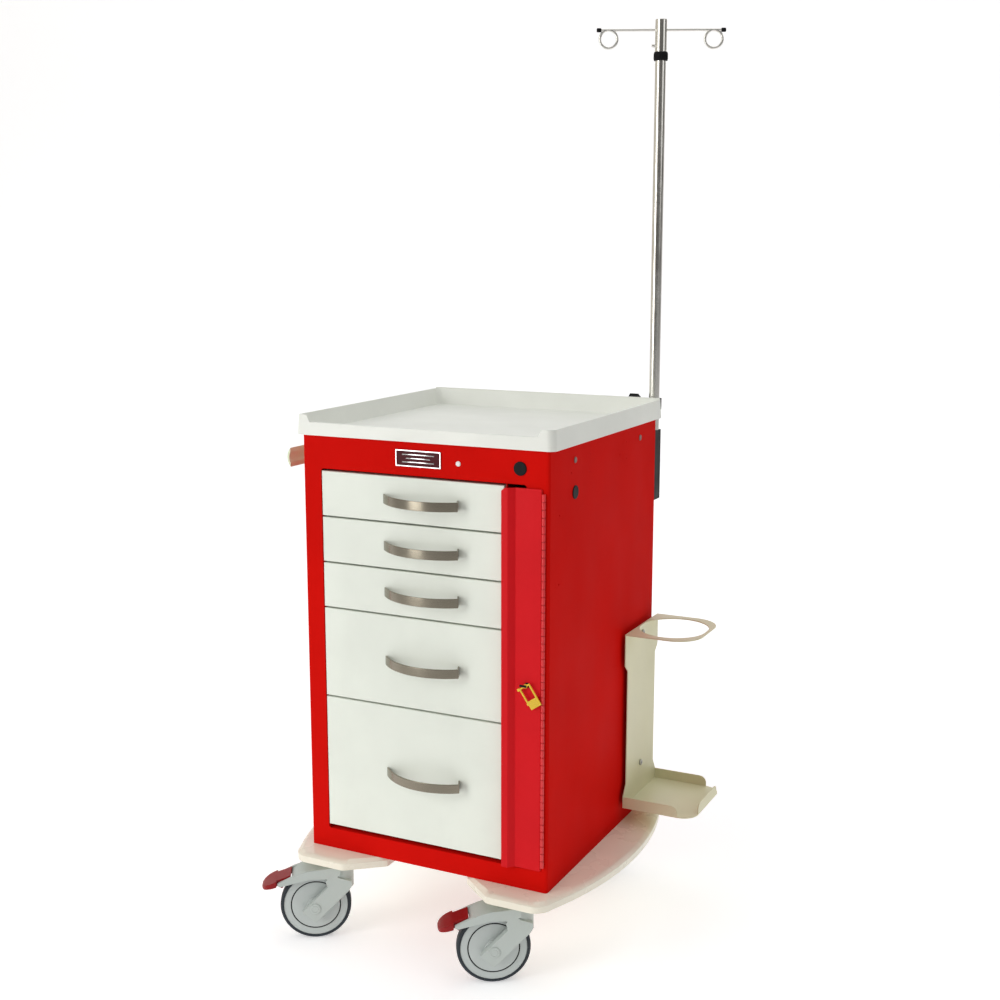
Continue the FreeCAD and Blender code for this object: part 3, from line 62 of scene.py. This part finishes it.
# ---- places on the cart, from the cabinet's front face or the floor ------------------------------
WHEEL_ANGLE = 211.0          # direction in which the wheels trail
SCREW_ARM_Y = (0.1004, 0.3951)
ARM_SCREW_OFFSETS = (-0.011, 0.011)
ARM_SCREW_HEIGHT = 0.8785
BRACKET_SCREW_BACK = 0.401
BRACKET_SCREW_HEIGHT = (0.260, 0.512)
SEAL_TILT = 34.0             # degrees that the hanging seal leans
SEAL_PIVOT_SHIFT = 0.0027
SEAL_PIVOT_HEIGHT = 0.5203

# ---- rounded edges: how far each bent or moulded node's edges are rounded, and in how many steps --
SOFT_EDGES = {
    "work_tray": (0.0016, 3),
    "base_bumpers": (0.0022, 3),
    "lock_bar": (0.0006, 2),
    "push_handle": (0.0009, 2),
    "tank_bracket": (0.0005, 2),
    "breakaway_seal": (0.0004, 2),
    "clamp_knob": (0.0008, 2),
    "pole_brackets": (0.0006, 2),
}
HANDLE_EDGE = 0.0006
CASTER_EDGE = 0.0012         # housings and pedals
DRAWERS = 5
ROWS = ("front", "rear")
SIDES = ("left", "right")

# ---- fine detail: ring profiles are (radius, height above the face they lie on) ------------------
DISC_FACE = 0.0092           # wheel disc's face, from the wheel's middle
AXLE_CAP_FACE = 0.0272
# painted shade: profile of the dark ring laid in the wheel disc's groove
GROOVE_SHADE_RING = [(0.0424, -0.0013), (0.0424, -0.0005), (0.0433, -0.0003), (0.0442, -0.0005), (0.0442, -0.0013)]
RIM_BEAD = [(0.0552, -0.0004), (0.0555, 0.0003), (0.0560, 0.0003), (0.0563, -0.0004)]
AXLE_CAP = [(0.0000, 0.0004), (0.0052, 0.0004), (0.0058, -0.0002), (0.0064, 0.0004), (0.0086, 0.0002),
            (0.0092, -0.0004), (0.0000, -0.0004)]
COLLAR_RIBS = 28
COLLAR_RIB_SIZE = (0.0010, 0.0014, 0.0100)
RECESS_SINK = 0.0002         # how far a recess's middle lies inside the screw's head
RECESS_DEPTH = 0.0006
RECESS_SLOT = 0.24           # slot's width over its length
ARM_RECESS = 0.0046
BRACKET_RECESS = 0.0056
BADGE_ROWS = ((-1, 0.74), (0, 0.56), (1, 0.74))  # row, and its share of the badge's width
BADGE_ROW_PITCH = 0.0062
BADGE_BAR_DEPTH = 0.0008
BADGE_BAR_HEIGHT = 0.0018
SEAL_RIBS = 4
SEAL_RIB_SIZE = (0.0150, 0.0008, 0.0011)
SEAL_RIB_SIDE = -0.0017
SEAL_RIB_FIRST = -0.0262
SEAL_RIB_PITCH = 0.0030

# ---- studio ------------------------------------------------------------------------------------
FLOOR_HALF_WIDTH = 14.0
FLOOR_FRONT = -9.0
FLOOR_BACK = 7.0             # where the floor starts to curve up
FLOOR_BEND = 4.0
FLOOR_RISE = 9.0
BEND_STEPS = 24
# painted glow: the floor gives off light of its own (emission), not from any lamp
FLOOR_GLOW = 0.38
FAR_GLOW = 0.1               # added on the floor well behind the cart
WALL_LEFT = (0.6, 0.56, 0.48, 1.0)
WALL_RIGHT = (0.07, 0.065, 0.06, 1.0)
CEILING = (0.62, 0.62, 0.62, 1.0)
KEY_POWER = 61.0
TOP_POWER = 20.0
SIDE_POWER = 13.0
REAR_POWER = 16.0


def srgb(r, g, b):
    """Linear colour from 8-bit sRGB values."""
    def linear(v):
        v /= 255
        return v / 12.92 if v <= 0.04045 else ((v + 0.055) / 1.055) ** 2.4
    return linear(r), linear(g), linear(b), 1.0


# ---- node helpers ------------------------------------------------------------------------------
class Shader:
    """A material with a Principled shader and short ways to add nodes to it."""

    def __init__(self, name, colour, roughness, metallic=0.0):
        self.material = bpy.data.materials.new(name)
        self.material.use_nodes = True
        self.tree = self.material.node_tree
        self.bsdf = self.tree.nodes["Principled BSDF"]
        self.bsdf.inputs["Base Color"].default_value = colour
        self.bsdf.inputs["Roughness"].default_value = roughness
        self.bsdf.inputs["Metallic"].default_value = metallic
        self.place = self.add("ShaderNodeTexCoord").outputs["Object"]

    def add(self, kind, **settings):
        node = self.tree.nodes.new(kind)
        for key, value in settings.items():
            setattr(node, key, value)
        return node

    def link(self, output, socket):
        self.tree.links.new(output, socket)

    def noise(self, scale, detail=3.0, stretch=(1, 1, 1), roughness=0.5):
        mapping = self.add("ShaderNodeMapping")
        mapping.inputs["Scale"].default_value = stretch
        self.link(self.place, mapping.inputs["Vector"])
        node = self.add("ShaderNodeTexNoise")
        node.inputs["Scale"].default_value = scale
        node.inputs["Detail"].default_value = detail
        node.inputs["Roughness"].default_value = roughness
        self.link(mapping.outputs["Vector"], node.inputs["Vector"])
        return node.outputs["Fac"]

    def spread(self, value, low, high, from_low=0.3, from_high=0.7):
        """Value remapped to run from low to high."""
        node = self.add("ShaderNodeMapRange")
        node.inputs["From Min"].default_value = from_low
        node.inputs["From Max"].default_value = from_high
        node.inputs["To Min"].default_value = low
        node.inputs["To Max"].default_value = high
        self.link(value, node.inputs["Value"])
        return node.outputs["Result"]

    def math(self, operation, a, b):
        node = self.add("ShaderNodeMath", operation=operation)
        for socket, value in zip(node.inputs, (a, b)):
            if isinstance(value, (int, float)):
                socket.default_value = value
            else:
                self.link(value, socket)
        return node.outputs["Value"]

    def blend(self, factor, a, b):
        """Colour mix of two colours or outputs."""
        node = self.add("ShaderNodeMix", data_type="RGBA")
        for socket, value in ((node.inputs["Factor"], factor), (node.inputs["A"], a), (node.inputs["B"], b)):
            wanted = [s for s in node.inputs if s.name == socket.name]
            socket = next(s for s in wanted if s.type == "RGBA" or s.name == "Factor")
            if isinstance(value, (tuple, float, int)):
                socket.default_value = value
            else:
                self.link(value, socket)
        return [o for o in node.outputs if o.type == "RGBA"][0]

    def edges(self, radius):
        """0 on flat faces, rising towards 1 where a surface turns within radius."""
        bevel = self.add("ShaderNodeBevel", samples=4)
        bevel.inputs["Radius"].default_value = radius
        normal = self.add("ShaderNodeNewGeometry").outputs["Normal"]
        dot = self.add("ShaderNodeVectorMath", operation="DOT_PRODUCT")
        self.link(bevel.outputs["Normal"], dot.inputs[0])
        self.link(normal, dot.inputs[1])
        return self.spread(dot.outputs["Value"], 1.0, 0.0, 0.85, 0.995)

    def colour(self, output):
        self.link(output, self.bsdf.inputs["Base Color"])

    def rough(self, output):
        self.link(output, self.bsdf.inputs["Roughness"])

    def bump(self, height, strength, distance, radius=0.0):
        node = self.add("ShaderNodeBump")
        node.inputs["Strength"].default_value = strength
        node.inputs["Distance"].default_value = distance
        self.link(height, node.inputs["Height"])
        if radius:
            bevel = self.add("ShaderNodeBevel", samples=4)
            bevel.inputs["Radius"].default_value = radius
            self.link(bevel.outputs["Normal"], node.inputs["Normal"])
        self.link(node.outputs["Normal"], self.bsdf.inputs["Normal"])


def shade(colour, factor):
    return tuple(min(1.0, c * factor) for c in colour[:3]) + (1.0,)


def powder_coat(name, colour, roughness, worn=0.3, gloss=0.5):
    """Powder coat: faint mottling, orange-peel bump, wiped streaks and lighter worn edges."""
    s = Shader(name, colour, roughness)
    mottled = s.blend(s.spread(s.noise(6.0, 4.0), 0.0, 1.0), shade(colour, 0.95), shade(colour, 1.05))
    smear = s.spread(s.noise(14.0, 8.0, (1, 1, 0.25), 0.7), 0.0, 0.12, 0.55, 0.75)
    wiped = s.blend(smear, mottled, shade(colour, 0.8))
    chips = s.spread(s.noise(120.0, 6.0, roughness=0.65), 0.0, 1.0, 0.48, 0.66)
    rub = s.math("MULTIPLY", s.math("MULTIPLY", s.edges(0.0006), chips), worn)
    s.colour(s.blend(rub, wiped, shade(colour, 1.35)))
    s.rough(s.spread(s.noise(11.0, 7.0, (1, 1, 0.4)), roughness - 0.06, roughness + 0.09))
    s.bump(s.noise(700.0, 2.0), 0.10, 0.0003, 0.0007)
    s.bsdf.inputs["Specular IOR Level"].default_value = gloss
    return s.material


def moulded(name, colour, roughness, grain=1200.0, depth=0.00015, scuffed=0.25, gloss=0.5):
    """Moulded plastic: spark-eroded grain, long faint scuffs, greyer dust patches and slight tone changes."""
    s = Shader(name, colour, roughness)
    base = s.blend(s.spread(s.noise(8.0, 5.0), 0.0, 1.0), shade(colour, 0.96), shade(colour, 1.03))
    scuff = s.spread(s.noise(40.0, 9.0, (0.4, 3, 1), 0.72), 0.0, scuffed, 0.58, 0.72)
    s.colour(s.blend(scuff, base, shade(colour, 0.84)))
    s.rough(s.spread(s.noise(22.0, 6.0), roughness - 0.06, roughness + 0.1))
    s.bump(s.noise(grain, 2.0), 0.22, depth, 0.0008)
    s.bsdf.inputs["Specular IOR Level"].default_value = gloss
    return s.material


def brushed(name, colour, roughness, along=(1, 40, 40)):
    """Brushed or drawn steel: fine streaks along one direction, with handling marks."""
    s = Shader(name, colour, roughness, 1.0)
    streak = s.noise(34.0, 7.0, along, 0.6)
    marks = s.noise(55.0, 5.0)
    s.colour(s.blend(s.spread(streak, 0.0, 1.0), shade(colour, 0.86), shade(colour, 1.06)))
    s.rough(s.math("ADD", s.spread(streak, roughness - 0.06, roughness + 0.06), s.spread(marks, 0.0, 0.05)))
    s.bump(streak, 0.08, 0.0002, 0.0004)
    return s.material


def polished(name, colour, roughness):
    """Chrome plate with faint handling marks."""
    s = Shader(name, colour, roughness, 1.0)
    marks = s.noise(35.0, 7.0, (1, 1, 0.3), 0.65)
    s.colour(s.blend(s.spread(marks, 0.0, 1.0), shade(colour, 0.92), colour))
    s.rough(s.spread(marks, roughness * 0.7, roughness * 1.6))
    s.bump(s.noise(500.0, 2.0), 0.03, 0.0001, 0.0004)
    return s.material


def rubber(name, colour, roughness):
    """Tyre rubber with floor dust and a fine mould texture."""
    s = Shader(name, colour, roughness)
    dust = s.spread(s.noise(40.0, 6.0), 0.0, 0.35, 0.45, 0.7)
    s.colour(s.blend(dust, colour, shade(colour, 1.9)))
    s.rough(s.spread(s.noise(60.0, 5.0), roughness - 0.1, roughness + 0.1))
    s.bump(s.noise(800.0, 3.0), 0.3, 0.0003, 0.001)
    return s.material


def make_materials():
    return {
        "red_sheet": powder_coat("red_sheet", srgb(208, 18, 12), 0.5, 0.3, 0.01),
        "bar_red": powder_coat("bar_red", srgb(214, 24, 32), 0.42, 0.3, 0.08),
        "drawer_white": powder_coat("drawer_white", srgb(232, 237, 226), 0.36, 0.1),
        "bracket_beige": powder_coat("bracket_beige", srgb(222, 218, 182), 0.42, 0.1),
        "galvanised": brushed("galvanised", srgb(185, 188, 190), 0.38),
        "handle_steel": brushed("handle_steel", srgb(142, 135, 120), 0.2, (1.5, 1.5, 60)),
        # painted highlight: same red paint as the bar, made lighter so the hinge knuckles read bright
        "hinge_steel": powder_coat("hinge_steel", srgb(222, 46, 50), 0.32, 0.4, 0.5),
        "pole_steel": polished("pole_steel", srgb(232, 230, 224), 0.2),
        "inner_steel": polished("inner_steel", srgb(215, 216, 218), 0.1),
        "badge_chrome": polished("badge_chrome", srgb(220, 220, 220), 0.1),
        "badge_field": moulded("badge_field", srgb(74, 14, 22), 0.4, gloss=0.15),
        "lens": moulded("lens", srgb(236, 236, 232), 0.25),
        "tray_plastic": moulded("tray_plastic", srgb(238, 240, 232), 0.42, 900.0, scuffed=0.1),
        "base_plastic": moulded("base_plastic", srgb(240, 234, 216), 0.26, 900.0, 0.0001),
        "black_plastic": moulded("black_plastic", srgb(18, 18, 20), 0.5, gloss=0.15),
        "grey_plug": moulded("grey_plug", srgb(128, 96, 88), 0.45),
        "caster_grey": moulded("caster_grey", srgb(186, 194, 189), 0.42),
        "wheel_grey": moulded("wheel_grey", srgb(190, 197, 194), 0.38),
        "tyre_rubber": rubber("tyre_rubber", srgb(24, 34, 42), 0.6),
        "pedal_red": moulded("pedal_red", srgb(140, 8, 12), 0.34, gloss=0.25),
        "seal_yellow": moulded("seal_yellow", srgb(232, 196, 44), 0.36),
        "grip_beige": moulded("grip_beige", srgb(226, 236, 204), 0.36),
        "fasteners": brushed("fasteners", srgb(178, 176, 168), 0.3),
    }


def paint_nodes(materials):
    for name, node in nodes.items():
        node.data.materials.clear()
        node.data.materials.append(materials[slot_of[name]])


# ---- pieces built over the CAD frame -------------------------------------------------------------
def add_piece(name, mesh, node, finish=None, hidden=()):
    """Object that rides with a node's body and takes a material slot's finish."""
    slot = finish or slot_of[node]
    mesh.materials.clear()
    mesh.materials.append(materials[slot])
    piece = bpy.data.objects.new(name, mesh)
    bpy.context.scene.collection.objects.link(piece)
    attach(piece, body_of[node])
    if hidden:
        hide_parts(*hidden)
    return piece


def smooth_mesh(name, work, angle=38.0):
    mesh = bpy.data.meshes.new(name)
    work.normal_update()
    work.to_mesh(mesh)
    work.free()
    mesh.polygons.foreach_set("use_smooth", [True] * len(mesh.polygons))
    mesh.set_sharp_from_angle(angle=math.radians(angle))
    return mesh


def softened(node, width, segments=2, angle=35.0):
    """A node's own shape with its sharp edges rounded, as moulding and bending leave them."""
    work = bmesh.new()
    work.from_mesh(nodes[node].data)
    bmesh.ops.remove_doubles(work, verts=work.verts, dist=2e-6)
    bmesh.ops.dissolve_limit(work, angle_limit=math.radians(0.4), verts=work.verts, edges=work.edges)
    sharp = [edge for edge in work.edges
             if edge.is_manifold and abs(edge.calc_face_angle(0.0)) > math.radians(angle)]
    bmesh.ops.bevel(work, geom=sharp, offset=width, offset_type="OFFSET", segments=segments, profile=0.5,
                    affect="EDGES", clamp_overlap=True)
    piece = add_piece(node + "_skin", smooth_mesh(node + "_skin", work), node, hidden=(node,))
    piece.modifiers.new("even_normals", "WEIGHTED_NORMAL").keep_sharp = True
    return piece


def build_skins():
    for node, (width, steps) in SOFT_EDGES.items():
        softened(node, width, steps)
    for drawer in range(1, DRAWERS + 1):
        softened("drawer_%d_handle" % drawer, HANDLE_EDGE)
    for side in SIDES:
        softened("brake_pedal_" + side, CASTER_EDGE)
        for row in ROWS:
            softened("caster_%s_%s_housing" % (row, side), CASTER_EDGE)


def merge_boxes(work, boxes):
    """Adds boxes, each (centre, size, rotation), to a bmesh."""
    for centre, size, turn in boxes:
        made = bmesh.ops.create_cube(work, size=1.0)["verts"]
        scale = Matrix.Diagonal((*size, 1.0))
        bmesh.ops.transform(work, matrix=Matrix.Translation(centre) @ turn @ scale, verts=made)


def soft_boxes(name, node, boxes, width, finish=None):
    """One piece made of small blocks with rounded edges."""
    work = bmesh.new()
    merge_boxes(work, boxes)
    bmesh.ops.bevel(work, geom=list(work.edges), offset=width, offset_type="OFFSET", segments=2, profile=0.5,
                    affect="EDGES", clamp_overlap=True)
    return add_piece(name, smooth_mesh(name, work), node, finish)


def lathe(name, node, profile, origin, turn, finish=None, steps=48):
    """Ring or boss turned round the local Z axis from a (radius, height) profile."""
    work = bmesh.new()
    verts = [work.verts.new((radius, 0.0, height)) for radius, height in profile]
    edges = [work.edges.new((verts[i], verts[(i + 1) % len(verts)])) for i in range(len(verts))]
    bmesh.ops.spin(work, geom=verts + edges, cent=(0, 0, 0), axis=(0, 0, 1), angle=2 * math.pi, steps=steps)
    bmesh.ops.remove_doubles(work, verts=work.verts, dist=1e-6)
    bmesh.ops.recalc_face_normals(work, faces=work.faces)
    bmesh.ops.transform(work, matrix=Matrix.Translation(origin) @ turn, verts=work.verts)
    return add_piece(name, smooth_mesh(name, work), node, finish)


def middle(node):
    low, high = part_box(node)
    return (low + high) / 2


def wheel_frame(wheel):
    """Centre of a wheel and its axle's direction, pointing to the front."""
    angle = math.radians(WHEEL_ANGLE + 90)
    return middle(wheel), Vector((math.cos(angle), math.sin(angle), 0.0))


def facing(direction):
    return Vector(direction).to_track_quat("Z", "Y").to_matrix().to_4x4()


def build_wheel_details():
    """Painted shade: a dark ring laid in the disc's groove; also a fine bead at the rim and a stepped axle
    cap, on both faces of each wheel.
    """
    for row in ROWS:
        for side in SIDES:
            label = "caster_%s_%s" % (row, side)
            wheel = label + "_wheel"
            centre, axle = wheel_frame(wheel)
            for face, sign in (("near", 1), ("far", -1)):
                turn = facing(axle * sign)
                rim = centre + axle * sign * DISC_FACE
                # painted shade: black ring sunk in the groove stands for the groove's shade
                lathe("%s_groove_%s" % (label, face), wheel, GROOVE_SHADE_RING, rim, turn, "black_plastic")
                lathe("%s_edge_%s" % (label, face), wheel, RIM_BEAD, rim, turn)
                hub = centre + axle * sign * AXLE_CAP_FACE
                lathe("%s_cap_%s" % (label, face), label + "_housing", AXLE_CAP, hub, turn)


def build_collar_ribs():
    """Finger ribs round the twist collar."""
    low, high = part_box("pole_collar")
    centre = (low + high) / 2
    radius = (high.x - low.x) / 2
    boxes = []
    for i in range(COLLAR_RIBS):
        turn = Matrix.Rotation(2 * math.pi * i / COLLAR_RIBS, 4, "Z")
        at = centre + turn @ Vector((radius, 0.0, 0.0))
        boxes.append((at, COLLAR_RIB_SIZE, turn))
    soft_boxes("pole_collar_ribs", "pole_collar", boxes, 0.0003)


def recess_shade_bars(at, outward, size):
    """Painted shade of a cross recess: two crossed thin dark bars that lie in a screw head's face."""
    turn = facing(outward)
    slot = size * RECESS_SLOT
    return [(at, (size, slot, RECESS_DEPTH), turn), (at, (slot, size, RECESS_DEPTH), turn)]


def build_screw_recesses():
    low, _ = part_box("cabinet_shell")
    screws_low, screws_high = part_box("mounting_screws")
    bars = []
    for y in SCREW_ARM_Y:
        for offset in ARM_SCREW_OFFSETS:
            at = Vector((screws_low.x + RECESS_SINK, low.y + y + offset, ARM_SCREW_HEIGHT))
            bars += recess_shade_bars(at, (-1, 0, 0), ARM_RECESS)
    for z in BRACKET_SCREW_HEIGHT:
        at = Vector((screws_high.x - RECESS_SINK, low.y + BRACKET_SCREW_BACK, z))
        bars += recess_shade_bars(at, (1, 0, 0), BRACKET_RECESS)
    # painted shade: black bars stand for the shade inside the drive recesses
    soft_boxes("screw_recess_shade", "mounting_screws", bars, 0.0001, "black_plastic")


def build_badge_bars():
    """Three plain raised bars in place of any lettering."""
    low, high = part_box("badge_plate")
    centre = (low + high) / 2
    width = high.x - low.x
    flat = Matrix.Identity(4)
    boxes = []
    for row, share in BADGE_ROWS:
        at = Vector((centre.x, low.y - 0.0002, centre.z + row * BADGE_ROW_PITCH))
        boxes.append((at, (width * share, BADGE_BAR_DEPTH, BADGE_BAR_HEIGHT), flat))
    soft_boxes("badge_bars", "badge_plate", boxes, 0.0003, "badge_chrome")


def build_seal_ribs():
    """Moulded ribs across the seal's tag."""
    low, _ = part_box("breakaway_seal")
    tilt = Matrix.Rotation(math.radians(-SEAL_TILT), 4, "Y")
    pivot = Vector((middle("lock_hasp").x + SEAL_PIVOT_SHIFT, low.y + 0.0002, SEAL_PIVOT_HEIGHT))
    boxes = []
    for step in range(SEAL_RIBS):
        local = Vector((SEAL_RIB_SIDE, 0.0, SEAL_RIB_FIRST - SEAL_RIB_PITCH * step))
        boxes.append((pivot + tilt @ local, SEAL_RIB_SIZE, tilt))
    soft_boxes("seal_ribs", "breakaway_seal", boxes, 0.0003)


def build_details():
    build_wheel_details()
    build_collar_ribs()
    build_screw_recesses()
    build_badge_bars()
    build_seal_ribs()


# ---- stage, light and camera -------------------------------------------------------------------
def build_stage():
    """Pale floor that curves up into a backdrop far behind the cart, with a painted glow of its own: emission
    from just in front of the cart backwards, stronger far behind, fading out to the right.
    """
    mesh = bpy.data.meshes.new("studio_floor")
    work = bmesh.new()
    rows = [(FLOOR_FRONT, 0.0), (FLOOR_BACK, 0.0)]
    rows += [(FLOOR_BACK + FLOOR_BEND * math.sin(a), FLOOR_BEND - FLOOR_BEND * math.cos(a))
             for a in (math.pi / 2 * i / BEND_STEPS for i in range(1, BEND_STEPS + 1))]
    rows.append((FLOOR_BACK + FLOOR_BEND, FLOOR_RISE))
    previous = None
    for y, z in rows:
        pair = [work.verts.new((x, y, z)) for x in (-FLOOR_HALF_WIDTH, FLOOR_HALF_WIDTH)]
        if previous:
            work.faces.new((previous[0], previous[1], pair[1], pair[0]))
        previous = pair
    work.to_mesh(mesh)
    work.free()
    for polygon in mesh.polygons:
        polygon.use_smooth = True
    floor = bpy.data.objects.new("studio_floor", mesh)
    bpy.context.scene.collection.objects.link(floor)
    s = Shader("studio_floor", (0.9, 0.9, 0.91, 1.0), 0.75)
    s.rough(s.spread(s.noise(3.0), 0.7, 0.8))
    s.bsdf.inputs["Emission Color"].default_value = (1.0, 1.0, 1.0, 1.0)
    split = s.add("ShaderNodeSeparateXYZ")
    s.link(s.place, split.inputs["Vector"])
    # painted glow: none in front of the cart, full from just in front of it backwards, more far behind
    behind = s.spread(split.outputs["Y"], 0.0, FLOOR_GLOW, -1.15, -0.7)
    behind = s.math("ADD", behind, s.spread(split.outputs["Y"], 0.0, FAR_GLOW, 0.6, 2.6))
    # painted glow fades out to the right
    left = s.spread(split.outputs["X"], 1.0, 0.0, 1.3, 2.3)
    s.link(s.math("MULTIPLY", behind, left), s.bsdf.inputs["Emission Strength"])
    mesh.materials.append(s.material)


def area_light(name, place, target, size, power, colour=(1, 1, 1)):
    data = bpy.data.lights.new(name, "AREA")
    data.shape = "RECTANGLE"
    data.size, data.size_y = size
    data.energy = power
    data.color = colour
    light = bpy.data.objects.new(name, data)
    light.location = place
    light.rotation_mode = "QUATERNION"
    light.rotation_quaternion = (Vector(target) - Vector(place)).to_track_quat("-Z", "Y")
    bpy.context.scene.collection.objects.link(light)


def build_world():
    """Studio walls: pale overhead and to the left, darker to the front and right."""
    world = bpy.data.worlds.new("studio")
    world.use_nodes = True
    tree = world.node_tree
    background = tree.nodes["Background"]
    place = tree.nodes.new("ShaderNodeTexCoord")
    split = tree.nodes.new("ShaderNodeSeparateXYZ")
    tree.links.new(place.outputs["Generated"], split.inputs["Vector"])
    colour = None
    for axis, low, high, tone in (("X", 0.1, -0.8, WALL_LEFT), ("Z", 0.05, 0.7, CEILING)):
        rise = tree.nodes.new("ShaderNodeMapRange")
        rise.inputs["From Min"].default_value = low
        rise.inputs["From Max"].default_value = high
        tree.links.new(split.outputs[axis], rise.inputs["Value"])
        mix = tree.nodes.new("ShaderNodeMixRGB")
        mix.inputs["Color1"].default_value = WALL_RIGHT
        mix.inputs["Color2"].default_value = tone
        tree.links.new(rise.outputs["Result"], mix.inputs["Fac"])
        if colour:
            tree.links.new(colour, mix.inputs["Color1"])
        colour = mix.outputs["Color"]
    tree.links.new(colour, background.inputs["Color"])
    bpy.context.scene.world = world


def build_lights():
    area_light("key", (-1.9, -3.4, 1.75), (0, 0, 1.75), (1.5, 3.4), KEY_POWER)
    area_light("top", (-0.3, 0.2, 4.4), (0, 0, 0.7), (3.2, 3.2), TOP_POWER)
    area_light("side", (4.2, -0.6, 2.4), (0, 0, 0.6), (2.0, 2.0), SIDE_POWER)
    area_light("rear", (1.5, 4.5, 3.0), (0, 0, 0.7), (2.5, 2.5), REAR_POWER)


def build_camera():
    low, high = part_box("cabinet_shell")
    data = bpy.data.cameras.new("camera")
    data.lens = CAMERA_LENS
    data.sensor_width = SENSOR_WIDTH
    camera = bpy.data.objects.new("camera", data)
    camera.location = ((low.x + high.x) / 2 + CAMERA_RIGHT, low.y - CAMERA_AHEAD, CAMERA_HEIGHT)
    camera.rotation_euler = (math.radians(90 - CAMERA_PITCH), 0, math.radians(CAMERA_AZIMUTH))
    bpy.context.scene.collection.objects.link(camera)
    bpy.context.scene.camera = camera


materials = make_materials()
paint_nodes(materials)
build_skins()
build_details()
build_stage()
build_world()
build_lights()
build_camera()
bpy.context.scene.view_settings.view_transform = "Standard"
